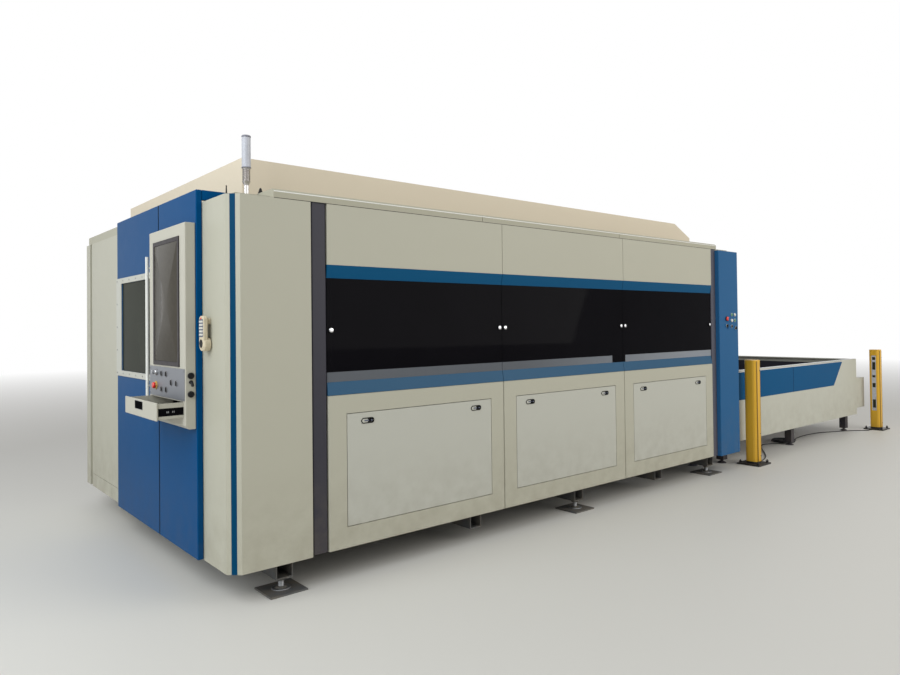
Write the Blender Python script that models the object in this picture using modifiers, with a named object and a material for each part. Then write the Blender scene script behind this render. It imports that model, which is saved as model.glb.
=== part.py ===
"""A fiber laser cutting machine with a shuttle table, as one assembly in metres with +Z up.

Places are measured from the corner where the operator's end face (X zero) meets the long window side
(Y zero) and the floor (Z zero). +X runs towards the shuttle table and +Y towards the rear cabinet. One
parent empty then moves everything so that the middle of the footprint is the origin.
"""

import math

import bmesh
import bpy
from mathutils import Matrix, Vector

# Fits
TOUCH = 0.0003
RUN_FIT = 0.001
OVERRUN = 0.01
WELD_SINK = 0.004
SEAM = 0.004

# House
HOUSE_DEPTH = 3.20
COVER_TOP = 2.21
SKIRT_HEIGHT = 0.18
SHEET = 0.035
SHEET_EDGE = 0.004
CORNER_SIDE = 0.475
CORNER_END = 0.39
CORNER_CHAMFER = 0.06
STRIPE_WIDTH = 0.031
STRIPE_DEPTH = 0.003
PILLAR_WIDTH = 0.10
PILLAR_SET_BACK = 0.006
BAY_WIDTH = 1.395
BAY_COUNT = 3
LOWER_BAND_Z = 1.087
BAND_HEIGHT = 0.077
WINDOW_HEIGHT = 0.611
GLASS = 0.008
GLASS_SET_BACK = 0.014
KNOB_RADIUS = 0.0125
KNOB_PROUD = 0.012
STRIP_WIDTH = 0.08
COLUMN_WIDTH = 0.36
COLUMN_PROUD = 0.035
COLUMN_DEPTH = 0.34
COLUMN_TOP = 2.20
COLUMN_CONTROL_Z = 1.507
COLUMN_CONTROL_PITCH = 0.058

# Service panels
SERVICE_MARGIN = 0.125
SERVICE_Z = 0.308
SERVICE_TOP = 0.97
SERVICE_THICK = 0.02
LATCH_WIDTH = 0.09
LATCH_HEIGHT = 0.033
LATCH_PROUD = 0.003
LATCH_FROM_SIDE = 0.14
LATCH_FROM_TOP = 0.05

# Operator end
END_PROUD = 0.035
END_TOP = 2.28
END_BOTTOM = 0.18
PANEL_PAST_CONSOLE = 0.02
DOOR_FROM_RAIL = 0.09
WALL_RECESS = 0.22
DOORWAY_LOW = 0.32
DOORWAY_HIGH = 2.02
DOORWAY_MARGIN = 0.07
DOOR_GLASS_Z = 1.19
DOOR_GLASS_TOP = 1.82
DOOR_GLASS_SIDE = 0.125
DOOR_FRAME_BAR = 0.04
DOOR_FRAME_PROUD = 0.006
HANDLE_RADIUS = 0.011
HANDLE_STANDOFF = 0.05
HANDLE_LOW = 1.05
HANDLE_HIGH = 1.95
HANDLE_FROM_EDGE = 0.065
DOOR_TRACK_SIZE = 0.035

# Console
CONSOLE_DEPTH = 0.06
CONSOLE_Y = 0.40
CONSOLE_WIDTH = 0.65
CONSOLE_Z = 0.92
CONSOLE_TOP = 2.09
SCREEN_MARGIN = 0.09
SCREEN_Z = 1.27
SCREEN_TOP = 2.02
SCREEN_THICK = 0.012
PLATE_Z = 1.08
PLATE_TOP = 1.26
PLATE_SIDE = 0.0065
PLATE_THICK = 0.004
DRAWER_REACH = 0.14
DRAWER_PLATE = 0.008
DRAWER_Z = 0.98
DRAWER_HEIGHT = 0.10
DRAWER_MARGIN = 0.02
DRAWER_LENGTH = 0.27
BUTTON_RADIUS = 0.009
BUTTON_TRAVEL = 0.003
STOP_RADIUS = 0.019
SWITCH_RADIUS = 0.015

# Pendant
PENDANT_WIDTH = 0.085
PENDANT_HEIGHT = 0.20
PENDANT_THICK = 0.035
PENDANT_FROM_EDGE = 0.06
PENDANT_LOW = 1.36

# Bed
TUBE = 0.10
TUBE_WALL = 0.006
TUBE_Z = 0.075
FRAME_BAR = 0.045
TUBE_PLACE_SHARES = (0.069, 0.365, 0.592, 0.818, 1.0)
BED_START = 0.62
BED_OVERHANG = 0.04
NEAR_BEAM_Y = 0.30
RAIL_SPAN = 1.84
BEAM_WIDTH = 0.20
BEAM_TOP = 0.93
LEDGE_WIDTH = 0.07
LEDGE_THICK = 0.025
FOOT_RADIUS = 0.05
FOOT_HEIGHT = 0.018
SPINDLE_RADIUS = 0.016
NUT_RADIUS = 0.03
NUT_HEIGHT = 0.02
PAD_PLATE = 0.22
PAD_THICK = 0.01
FOOT_INSET = 0.09

# Guide rails and gantry
RAIL_WIDTH = 0.045
RAIL_HEIGHT = 0.045
GANTRY_FROM_END = 1.30
GANTRY_FOOT_LENGTH = 0.45
GANTRY_FOOT_TOP = 1.12
BEAM_SECTION_WIDTH = 0.26
BEAM_SECTION_HEIGHT = 0.32
CARRIAGE_WIDTH = 0.34
CARRIAGE_THICK = 0.055
CARRIAGE_Y = 1.00
SLIDE_WIDTH = 0.19
SLIDE_THICK = 0.035
SLIDE_LOW = 1.16
SLIDE_HIGH = 1.66
HEAD_RADIUS = 0.045
NOZZLE_Z = 1.0

# Energy chain
CHAIN_WIDTH = 0.07
CHAIN_THICK = 0.06
CHAIN_TOP = 1.36
CHAIN_DROP = 0.22
CHAIN_GAP = 0.0057
CHAIN_FROM_END = 0.10
CHAIN_LINK = 0.12

# Pallets
GANTRY_PARKING = 1.125
PALLET_SIDE_GAP = 0.15
PALLET_HEIGHT = 0.08
PALLET_BAR = 0.06
SLAT_COUNT = 16
SLAT_THICK = 0.008
SLAT_RISE = 0.05
SLAT_TEETH = 6
TOOTH_SHARE = 0.75
UPPER_LEVEL = 0.77
LOWER_LEVEL = 0.51
PALLET_FROM_END = 0.29

# Portal and exit door
PORTAL_OPEN_LOW = 0.46
PORTAL_OPEN_HIGH = 1.58
PORTAL_DOOR_SPACE = 0.07
PORTAL_FOLD = 0.014
DOOR_SLAB = 0.03
DOOR_LOW = 0.915
DOOR_HEIGHT = 0.72

# Shuttle table
TABLE_GAP = 0.05
TABLE_SPARE = 0.37
TABLE_NEAR_Y = 0.15
TABLE_LOW = 0.22
TABLE_TOP = 0.97
TABLE_SHEET = 0.015
TABLE_BEAM_LOW = 0.30
TABLE_BEAM_WIDTH = 0.10
TABLE_LEG = 0.08
TABLE_LEG_Y = 0.27
TABLE_LEG_SHARES = (0.035, 0.49, 0.956)
INLAY_LOW = 0.655
INLAY_MARGIN = 0.02
INLAY_SHORT = 0.47
INLAY_SLANT = 0.27
INLAY_THICK = 0.003
DRIVE_COVER_LENGTH = 0.27

# Light guards
POST_HEIGHT = 1.09
POST_WIDTH = 0.13
POST_CORNER = 0.035
POST_BASE = 0.25
POST_BASE_THICK = 0.015
POST_NEAR_INSET = 0.29
POST_FAR_REACH = 0.27

# Guard cable on the floor
CABLE_RADIUS = 0.005
COIL_RADIUS = 0.14
COIL_INNER = 0.10
COIL_HEIGHT = 0.045
COIL_FROM_TABLE = 1.85
COIL_Y = 0.43
COIL_ENTRY = -60
COIL_EXIT = -120
GLAND_Y = 0.02
GLAND_SIZE = 0.024

# Roof
HOOD_HEIGHT = 0.30
HOOD_START = 0.25
HOOD_NEAR_Y = 0.43
HOOD_FAR_INSET = 0.42
HOOD_RIDGE_REACH = 0.04
HOOD_SLANT = 0.27
CORNICE_START = 0.25
CORNICE_HEIGHT = 0.05
CORNICE_DEPTH = 0.22
DECK_THICK = 0.012
DECK_INSET = 0.05

# Stack light
LAMP_X = 0.18
LAMP_Y = 0.20
LAMP_RADIUS = 0.027
LAMP_HEIGHT = 0.36

# Places of the column's controls: shares of its width, and heights in control pitches above the middle
COLUMN_CONTROL_SHARES = ((0.64, 1.0), (0.64, 0.0), (0.64, -1.0), (0.80, 1.0), (0.80, 0.0))
COLUMN_SELECTOR_SHARES = ((0.44, -1.1), (0.84, -1.3))
COLUMN_STOP_SHARES = (0.44, 0.2)

# Shares of the control plate's width from the operator's left, and of its height
SWITCH_SHARES = (0.22, 0.80)
STOP_SHARES = (0.20, 0.35)
BUTTON_SHARES = ((0.37, 0.78), (0.50, 0.78), (0.37, 0.26), (0.50, 0.26), (0.64, 0.52), (0.78, 0.52))

# Places that follow from the sizes above
bay_start = CORNER_SIDE + PILLAR_WIDTH
side_end = bay_start + BAY_COUNT * BAY_WIDTH
column_start = side_end + STRIP_WIDTH
house_end = column_start + COLUMN_WIDTH
window_low = LOWER_BAND_Z + BAND_HEIGHT
window_high = window_low + WINDOW_HEIGHT
upper_band_top = window_high + BAND_HEIGHT
tube_top = TUBE_Z + TUBE
bed_end = side_end + BED_OVERHANG
bed_centre_y = NEAR_BEAM_Y + RAIL_SPAN / 2
near_beam_y = NEAR_BEAM_Y
far_beam_y = NEAR_BEAM_Y + RAIL_SPAN
end_panel_edge = CONSOLE_Y + CONSOLE_WIDTH + PANEL_PAST_CONSOLE
door_edge = far_beam_y - DOOR_FROM_RAIL
wall_edge = HOUSE_DEPTH - WALL_RECESS
beam_end = side_end + SEAM
rail_bottom = BEAM_TOP + TOUCH
ledge_near_y = near_beam_y + BEAM_WIDTH / 2
ledge_far_y = far_beam_y - BEAM_WIDTH / 2
gantry_x = bed_end - GANTRY_FROM_END
chain_y = SHEET + TOUCH + FRAME_BAR + CHAIN_GAP
chain_end = bed_end - CHAIN_FROM_END
pallet_length = BAY_COUNT * BAY_WIDTH - GANTRY_PARKING
pallet_width = RAIL_SPAN - 2 * PALLET_SIDE_GAP
pallet_in_x = bed_end - PALLET_FROM_END - pallet_length
table_start = house_end + TABLE_GAP
table_length = pallet_length + TABLE_SPARE
table_far_y = 2 * bed_centre_y - TABLE_NEAR_Y
table_end = table_start + table_length
post_near_x = table_start + POST_NEAR_INSET
post_far_x = table_end + POST_FAR_REACH
coil_x = table_start + COIL_FROM_TABLE
hood_top = COVER_TOP + HOOD_HEIGHT
hood_far_y = HOUSE_DEPTH - HOOD_FAR_INSET
hood_ridge_end = side_end + HOOD_RIDGE_REACH
cabinet_front = far_beam_y + BEAM_WIDTH / 2 + PALLET_BAR
console_face = -END_PROUD - TOUCH - CONSOLE_DEPTH
drawer_front = console_face - DRAWER_REACH - DRAWER_PLATE
chain_bottom = CHAIN_TOP - CHAIN_DROP
carriage_face = BEAM_SECTION_WIDTH / 2

# Colours as the pieces' own materials: base colour, roughness, metallic value
LOOKS = {
    "cream": ((0.62, 0.60, 0.54), 0.45, 0.0),
    "grey_white": ((0.58, 0.59, 0.58), 0.45, 0.0),
    "blue": ((0.03, 0.14, 0.32), 0.4, 0.0),
    "band_blue": ((0.06, 0.20, 0.42), 0.4, 0.0),
    "charcoal": ((0.05, 0.05, 0.055), 0.5, 0.0),
    "bed_grey": ((0.22, 0.23, 0.24), 0.5, 0.3),
    "steel": ((0.55, 0.56, 0.57), 0.3, 1.0),
    "glass": ((0.02, 0.018, 0.022), 0.05, 0.0),
    "black": ((0.02, 0.02, 0.022), 0.5, 0.0),
    "screen": ((0.16, 0.15, 0.13), 0.15, 0.0),
    "brushed": ((0.42, 0.42, 0.41), 0.35, 0.8),
    "red": ((0.55, 0.02, 0.02), 0.4, 0.0),
    "yellow": ((0.62, 0.38, 0.03), 0.45, 0.0),
    "rust": ((0.25, 0.20, 0.17), 0.7, 0.6),
    "lamp": ((0.7, 0.72, 0.72), 0.2, 0.2),
}


def empty_scene():
    for old in list(bpy.data.objects):
        bpy.data.objects.remove(old, do_unlink=True)


def new_collection(name):
    found = bpy.data.collections.new(name)
    bpy.context.scene.collection.children.link(found)
    return found


empty_scene()
pieces = new_collection("fiber_laser_cutting_machine")
cutters = new_collection("cutters")

drawer_end = drawer_front
post_end = post_far_x + POST_BASE / 2
house_near = -POST_BASE / 2
machine = bpy.data.objects.new("machine", None)
machine.location = (-(drawer_end + post_end) / 2, -(house_near + HOUSE_DEPTH) / 2, 0)
pieces.objects.link(machine)


# Shapes

def helper(name, mesh):
    """A shape that is not a piece yet: hidden in a render and drawn as wires."""
    shape = bpy.data.objects.new(name, mesh)
    shape.parent = machine
    shape.hide_render = True
    shape.display_type = "WIRE"
    cutters.objects.link(shape)
    return shape


def boxes(corners):
    """Blocks that stay clear of one another, each between two places along X, Y and Z."""
    grid = bmesh.new()
    for x, y, z in corners:
        size = Vector((x[1] - x[0], y[1] - y[0], z[1] - z[0]))
        middle = Vector((x[1] + x[0], y[1] + y[0], z[1] + z[0])) / 2
        place = Matrix.Translation(middle) @ Matrix.Diagonal(size.to_4d())
        place[3][3] = 1
        bmesh.ops.create_cube(grid, size=1, matrix=place)
    mesh = bpy.data.meshes.new("boxes")
    grid.to_mesh(mesh)
    grid.free()
    return helper("boxes", mesh)


def box(x, y, z):
    return boxes([(x, y, z)])


def turn_to(axis):
    """The turn that takes +Z to the named axis."""
    if axis == "X":
        return Matrix.Rotation(math.pi / 2, 4, "Y")
    if axis == "Y":
        return Matrix.Rotation(-math.pi / 2, 4, "X")
    return Matrix.Identity(4)


def rods(places, radius, length, axis="Z", sides=16, end_radius=None):
    """Round bars that stay clear of one another, each from its place along the axis."""
    grid = bmesh.new()
    for place in places:
        middle = Matrix.Translation(Vector(place)) @ turn_to(axis) @ Matrix.Translation((0, 0, length / 2))
        bmesh.ops.create_cone(
            grid,
            cap_ends=True,
            segments=sides,
            radius1=radius,
            radius2=radius if end_radius is None else end_radius,
            depth=length,
            matrix=middle,
        )
    mesh = bpy.data.meshes.new("rods")
    grid.to_mesh(mesh)
    grid.free()
    mesh.shade_smooth()
    mesh.set_sharp_from_angle(angle=math.radians(40))
    return helper("rods", mesh)


def rod(place, radius, length, axis="Z", sides=16, end_radius=None):
    return rods([place], radius, length, axis, sides, end_radius)


def plates(outlines, axis, start, end):
    """Flat outlines drawn out along an axis. Points are (y, z) for X, (x, z) for Y and (x, y) for Z."""
    curve = bpy.data.curves.new("outline", "CURVE")
    curve.dimensions = "2D"
    curve.fill_mode = "BOTH"
    curve.extrude = (end - start) / 2
    for points in outlines:
        spline = curve.splines.new("POLY")
        spline.points.add(len(points) - 1)
        for point, (across, up) in zip(spline.points, points):
            point.co = (across, up, 0, 1)
        spline.use_cyclic_u = True
    drawn = bpy.data.objects.new("outline", curve)
    frames = {
        "X": Matrix(((0, 0, 1), (1, 0, 0), (0, 1, 0))),
        "Y": Matrix(((1, 0, 0), (0, 0, -1), (0, 1, 0))),
        "Z": Matrix.Identity(3),
    }
    along = {"X": Vector((1, 0, 0)), "Y": Vector((0, 1, 0)), "Z": Vector((0, 0, 1))}[axis]
    drawn.matrix_world = Matrix.Translation(along * (start + end) / 2) @ frames[axis].to_4x4()
    return solid_of(drawn)


def plate(points, axis, start, end):
    return plates([points], axis, start, end)


def solid_of(drawn):
    """The closed mesh of a curve object, in the machine's own frame. The curve is removed."""
    cutters.objects.link(drawn)
    graph = bpy.context.evaluated_depsgraph_get()
    mesh = bpy.data.meshes.new_from_object(drawn.evaluated_get(graph))
    mesh.transform(drawn.matrix_world)
    grid = bmesh.new()
    grid.from_mesh(mesh)
    bmesh.ops.remove_doubles(grid, verts=grid.verts, dist=TOUCH / 10)
    bmesh.ops.recalc_face_normals(grid, faces=grid.faces)
    grid.to_mesh(mesh)
    grid.free()
    bpy.data.objects.remove(drawn, do_unlink=True)
    return helper("outline_solid", mesh)


def tube(points, radius, resolution=2, smooth=True):
    """A round bar or cord along a line of points, as a curve with filled ends."""
    curve = bpy.data.curves.new("tube", "CURVE")
    curve.dimensions = "3D"
    curve.bevel_depth = radius
    curve.bevel_resolution = resolution
    curve.use_fill_caps = True
    spline = curve.splines.new("POLY")
    spline.points.add(len(points) - 1)
    for point, place in zip(spline.points, points):
        point.co = (*place, 1)
    spline.use_smooth = smooth
    return bpy.data.objects.new("tube", curve)


def turned(profile, place, axis="Z", sides=24):
    """A turned piece: (radius, height) points from top to bottom, screwed about the axis at a place."""
    mesh = bpy.data.meshes.new("profile")
    mesh.from_pydata([(radius, 0, height) for radius, height in profile],
                     [(k, k + 1) for k in range(len(profile) - 1)], [])
    shape = helper("turned", mesh)
    shape.location = place
    shape.rotation_euler = turn_to(axis).to_euler()
    screw = shape.modifiers.new("screw", "SCREW")
    screw.steps = sides
    screw.render_steps = sides
    screw.use_merge_vertices = True
    screw.merge_threshold = TOUCH / 10
    screw.use_smooth_shade = False
    return shape


def eased(shape, width, segments=1):
    """Rounds or chamfers the sharp edges of a shape."""
    bevel = shape.modifiers.new("eased edges", "BEVEL")
    bevel.width = width
    bevel.segments = segments
    bevel.limit_method = "ANGLE"
    bevel.angle_limit = math.radians(40)
    return shape


def combine(shape, others, operation):
    for other in others:
        change = shape.modifiers.new(operation.lower(), "BOOLEAN")
        change.operation = operation
        change.solver = "EXACT"
        change.object = other
    return shape


def look_of(name):
    found = bpy.data.materials.get(name)
    if found:
        return found
    colour, roughness, metallic = LOOKS[name]
    found = bpy.data.materials.new(name)
    found.use_nodes = True
    shader = found.node_tree.nodes["Principled BSDF"]
    shader.inputs["Base Color"].default_value = (*colour, 1)
    shader.inputs["Roughness"].default_value = roughness
    shader.inputs["Metallic"].default_value = metallic
    found.diffuse_color = (*colour, 1)
    return found


def piece(name, shape, look, add=(), cut=(), pivot=None):
    """Makes a shape one named piece of the machine, with others joined to it and cutters taken from it."""
    combine(shape, add, "UNION")
    combine(shape, cut, "DIFFERENCE")
    if pivot is not None:
        shape.data.transform(Matrix.Translation(-Vector(pivot)))
        shape.location = pivot
    shape.name = name
    shape.data.name = name
    shape.parent = machine
    shape.hide_render = False
    shape.display_type = "TEXTURED"
    if shape.name in cutters.objects:
        cutters.objects.unlink(shape)
    pieces.objects.link(shape)
    shape.data.materials.clear()
    shape.data.materials.append(look_of(look))
    return shape


def spread(count, start, end):
    """Places of a number of things spread evenly from start to end."""
    return [start + (end - start) * k / (count - 1) for k in range(count)]


def arc(middle, radius, start, end, count):
    """Points on an arc between two angles in degrees."""
    angles = [math.radians(angle) for angle in spread(count, start, end)]
    return [(middle[0] + radius * math.cos(a), middle[1] + radius * math.sin(a)) for a in angles]


def rounded(x, y, radius, count=4):
    """The outline of a rectangle with round corners."""
    corners = (
        ((x[1] - radius, y[1] - radius), 0),
        ((x[0] + radius, y[1] - radius), 90),
        ((x[0] + radius, y[0] + radius), 180),
        ((x[1] - radius, y[0] + radius), 270),
    )
    return [point for middle, turn in corners for point in arc(middle, radius, turn, turn + 90, count)]


# Bed and house frame

def bed_frame():
    """Two side beams with pallet ledges on five open square tubes that stand on levelling feet."""
    tube_x = [share * bed_end for share in TUBE_PLACE_SHARES]
    tube_near = SHEET + SHEET
    tube_far = HOUSE_DEPTH - tube_near
    tubes = [((x - TUBE / 2, x + TUBE / 2), (tube_near, tube_far), (TUBE_Z, tube_top)) for x in tube_x]
    bores = [
        (
            (x - TUBE / 2 + TUBE_WALL, x + TUBE / 2 - TUBE_WALL),
            (tube_near - OVERRUN, tube_far + OVERRUN),
            (TUBE_Z + TUBE_WALL, tube_top - TUBE_WALL),
        )
        for x in tube_x
    ]
    half = BEAM_WIDTH / 2
    beams = [
        ((BED_START, beam_end), (y - half, y + half), (tube_top - WELD_SINK, BEAM_TOP))
        for y in (near_beam_y, far_beam_y)
    ]
    skids = [
        (
            (tube_x[0] - TUBE / 2, BED_START + OVERRUN),
            (y - half / 2, y + half / 2),
            (tube_top - WELD_SINK, tube_top + TUBE),
        )
        for y in (near_beam_y, far_beam_y)
    ]
    ledges = []
    for level in (UPPER_LEVEL, LOWER_LEVEL):
        z = (level - TOUCH - LEDGE_THICK, level - TOUCH)
        x = (BED_START + BEAM_WIDTH, beam_end)
        ledges.append((x, (ledge_near_y - WELD_SINK, ledge_near_y + LEDGE_WIDTH), z))
        ledges.append((x, (ledge_far_y - LEDGE_WIDTH, ledge_far_y + WELD_SINK), z))
    window = BEAM_WIDTH
    high_low = (UPPER_LEVEL - LOWER_LEVEL) / 4
    holes = []
    starts = spread(6, BED_START + window, bed_end - 2 * window - SEAM)
    for start in starts:
        x = (start, start + 2 * window)
        holes.append((x, (0, HOUSE_DEPTH), (tube_top + window / 2, LOWER_LEVEL - LEDGE_THICK - high_low)))
    feet = [
        (x, y, PAD_THICK - WELD_SINK)
        for x in (tube_x[0], tube_x[2], tube_x[4])
        for y in (FOOT_INSET + TUBE / 4, HOUSE_DEPTH - FOOT_INSET - TUBE / 4)
    ]
    pads = [
        ((x - PAD_PLATE / 2, x + PAD_PLATE / 2), (y - PAD_PLATE / 2, y + PAD_PLATE / 2), (0, PAD_THICK))
        for x, y, _ in feet
    ]
    nut_z = TUBE_Z - NUT_HEIGHT + WELD_SINK
    body = boxes(beams)
    return piece(
        "bed_frame",
        body,
        "bed_grey",
        add=[
            boxes(tubes),
            boxes(skids),
            boxes(ledges),
            rods(feet, SPINDLE_RADIUS, TUBE_Z, sides=8),
            rods(feet, FOOT_RADIUS, FOOT_HEIGHT, sides=12, end_radius=FOOT_RADIUS / 2),
            rods([(x, y, nut_z) for x, y, _ in feet], NUT_RADIUS, NUT_HEIGHT, sides=6),
            boxes(pads),
        ],
        cut=[boxes(bores), boxes(holes)],
    )


def frame_near():
    return SHEET + TOUCH


def house_frame():
    """Sill, posts and rails of square tube behind the sheets of the long side and of the operator's end."""
    bar = FRAME_BAR
    slim = WELD_SINK / 2
    near = (frame_near(), frame_near() + bar)
    low = tube_top + TOUCH
    top = COVER_TOP
    seams = [bay_start + k * BAY_WIDTH for k in range(1, BAY_COUNT)]
    side_posts = [CORNER_SIDE + PILLAR_WIDTH / 2, *seams, side_end + STRIP_WIDTH / 2]
    end_posts = [
        CORNER_END,
        end_panel_edge + DOORWAY_MARGIN - bar / 2 - SEAM,
        door_edge - DOORWAY_MARGIN + bar / 2 + SEAM,
    ]
    corner = (corner_inside() / 2 + 2 * SEAM, corner_inside() / 2 + 2 * SEAM + bar)
    posts = [(corner, corner, (low, top))]
    posts += [((x - bar / 2, x + bar / 2), near, (low, top)) for x in side_posts]
    posts += [(near, (y - bar / 2, y + bar / 2), (low, top)) for y in end_posts]
    thin = (near[0] + slim, near[1] - slim)
    rail_start = corner_inside() - thin[0] + SEAM
    side = (rail_start, side_posts[-1])
    bays = (side_posts[0], side_posts[-1])
    end = (rail_start, cabinet_front - TOUCH)
    base_z = (low + slim, SKIRT_HEIGHT + bar)
    head_z = (top - bar, top - slim)
    stub_x = (near[0] + bar / 2, TUBE_PLACE_SHARES[0] * bed_end + TUBE / 2)
    stub_y = [CORNER_END + BEAM_WIDTH * share for share in (0.6, 5.0, 8.0)]
    stubs = [(stub_x, (y - bar / 2, y + bar / 2), (low, low + bar * 0.8)) for y in stub_y]
    return piece(
        "house_frame",
        boxes(posts),
        "bed_grey",
        add=[
            box(side, (thin[0], thin[1] + bar), base_z),
            box(side, thin, head_z),
            box(bays, thin, (LOWER_BAND_Z - bar / 2, window_low + bar)),
            box(bays, thin, (window_high + SEAM, upper_band_top)),
            box(thin, end, (base_z[0] + SEAM / 4, base_z[1] - SEAM)),
            box(thin, end, (head_z[0] + SEAM, head_z[1] - SEAM / 4)),
            boxes(stubs),
        ],
    )


def rail_outline(clearance=0.0):
    """The section of a profiled guide rail: wide foot, waist and wide head, from the middle of its foot."""
    half = RAIL_WIDTH / 2 + clearance
    waist = half * 0.72
    top = RAIL_HEIGHT + min(clearance, TOUCH)
    shares = (0.35, 0.55, 0.72)
    low, high, head = (RAIL_HEIGHT * share for share in shares)
    right = [(half, 0), (half, low), (waist, high), (half, head), (half, top)]
    return right + [(-y, z) for y, z in reversed(right)]


def guide_rail(name, y):
    points = [(y + across, rail_bottom + up) for across, up in rail_outline()]
    return piece(name, plate(points, "X", BED_START + RAIL_WIDTH, bed_end - RAIL_WIDTH), "steel")


# Sheets of the long side

def corner_inside():
    """How far along X or Y the flat back of the corner chamfer would meet the outer faces."""
    return CORNER_CHAMFER + SHEET * 2.2


def corner_cover():
    """One folded sheet round the front corner, with a chamfer that holds the stripe in a shallow groove."""
    low, high = CORNER_CHAMFER, CORNER_CHAMFER
    chamfer = Vector((low, -high)).normalized()
    inward = Vector((high, low)).normalized()
    middle = Vector((low, high)) / 2
    edge = STRIPE_WIDTH / 2 + TOUCH
    groove = [
        middle - chamfer * edge,
        middle - chamfer * edge + inward * STRIPE_DEPTH,
        middle + chamfer * edge + inward * STRIPE_DEPTH,
        middle + chamfer * edge,
    ]
    inner = corner_inside() - CORNER_CHAMFER - SHEET
    outline = [(0, CORNER_END - SEAM), (0, high)]
    outline += [tuple(point) for point in groove]
    outline += [
        (low, 0), (CORNER_SIDE - SEAM / 2, 0), (CORNER_SIDE - SEAM / 2, SHEET), (inner + low, SHEET),
    ]
    outline += [(SHEET, inner + high), (SHEET, CORNER_END - SEAM)]
    return piece("corner_cover", plate(outline, "Z", SKIRT_HEIGHT - SEAM, COVER_TOP), "cream")


def corner_stripe():
    """The painted inlay in the groove of the corner chamfer."""
    chamfer = Vector((1, -1)).normalized()
    inward = Vector((1, 1)).normalized()
    middle = Vector((CORNER_CHAMFER, CORNER_CHAMFER)) / 2
    edge = STRIPE_WIDTH / 2
    deep = STRIPE_DEPTH - TOUCH
    outline = [
        middle - chamfer * edge,
        middle - chamfer * edge + inward * deep,
        middle + chamfer * edge + inward * deep,
        middle + chamfer * edge,
    ]
    return piece(
        "corner_stripe",
        plate([tuple(p) for p in outline], "Z", SKIRT_HEIGHT - SEAM, COVER_TOP),
        "blue",
    )


def pillar():
    """The charcoal post cover between the corner and the first bay, with a folded edge to each side."""
    x = (CORNER_SIDE + SEAM / 2, bay_start - SEAM / 2)
    fold = SEAM * 2
    outline = [
        (x[0], SHEET),
        (x[0], PILLAR_SET_BACK + fold),
        (x[0] + fold, PILLAR_SET_BACK),
        (x[1] - fold, PILLAR_SET_BACK),
        (x[1], PILLAR_SET_BACK + fold),
        (x[1], SHEET),
    ]
    return piece("pillar", plate(outline, "Z", SKIRT_HEIGHT + SEAM, COVER_TOP), "charcoal")


def service_range(number):
    start = bay_start + number * BAY_WIDTH
    return (start + SERVICE_MARGIN, start + BAY_WIDTH - SERVICE_MARGIN)


def side_bay(number):
    """A lower side sheet with the rebated opening of its service panel."""
    start = bay_start + number * BAY_WIDTH
    x = (start + SEAM / 2, start + BAY_WIDTH - SEAM / 2)
    panel = service_range(number)
    opening = (panel[0] - SEAM, panel[1] + SEAM)
    stop = SERVICE_MARGIN / 5
    front = (-OVERRUN, SERVICE_THICK + TOUCH)
    through = (-OVERRUN, SHEET + OVERRUN)
    z = (SERVICE_Z - SEAM, SERVICE_TOP + SEAM)
    return piece(
        f"side_bay_{number + 1}",
        eased(box(x, (0, SHEET), (SKIRT_HEIGHT, LOWER_BAND_Z - TOUCH)), SHEET_EDGE),
        "cream",
        cut=[
            box(opening, front, z),
            box((opening[0] + stop, opening[1] - stop), through, (z[0] + stop, z[1] - stop)),
        ],
    )


def service_panel(number):
    """An inset panel that tips out on two lugs at its foot, with two flush paddle latches at its head."""
    x = service_range(number)
    panel = box(x, (0, SERVICE_THICK), (SERVICE_Z, SERVICE_TOP))
    lug = LATCH_WIDTH / 2
    lug_y = (SERVICE_THICK / 4, SERVICE_THICK * 0.75)
    lug_z = (SERVICE_Z - SEAM + TOUCH, SERVICE_Z + WELD_SINK)
    inset = LATCH_FROM_SIDE - LATCH_WIDTH / 2
    latch_z = (
        SERVICE_TOP - LATCH_FROM_TOP - LATCH_HEIGHT / 2, SERVICE_TOP - LATCH_FROM_TOP + LATCH_HEIGHT / 2,
    )
    lugs = []
    latches = []
    grips = []
    for place in (x[0] + inset, x[1] - inset - LATCH_WIDTH):
        lugs.append(((place, place + lug), lug_y, lug_z))
        latches.append(((place, place + LATCH_WIDTH), (-LATCH_PROUD, WELD_SINK), latch_z))
        rim = LATCH_HEIGHT / 6
        grip = (place + LATCH_WIDTH / 2, place + LATCH_WIDTH - rim)
        grips.append((grip, (-OVERRUN, LATCH_PROUD), (latch_z[0] + rim, latch_z[1] - rim)))
    return piece(
        f"service_panel_{number + 1}",
        panel,
        "cream",
        add=[boxes(lugs), eased(boxes(latches), LATCH_PROUD / 2)],
        cut=[boxes(grips)],
        pivot=((x[0] + x[1]) / 2, 0, SERVICE_Z),
    )


def band(name, low, high, front):
    """A painted band along the bays, whose face leans in to the glass, with a shallow seam between bays."""
    seams = []
    for k in range(1, BAY_COUNT):
        middle = bay_start + k * BAY_WIDTH
        seams.append((
            (middle - SEAM / 2, middle + SEAM / 2),
            (-OVERRUN, max(front) + SEAM),
            (low - OVERRUN, high + OVERRUN),
        ))
    section = [(front[0], low), (SHEET, low), (SHEET, high), (front[1], high)]
    return piece(
        name,
        plate(section, "X", bay_start + SEAM / 2, side_end - SEAM / 2),
        "band_blue",
        cut=[boxes(seams)],
    )


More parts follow.
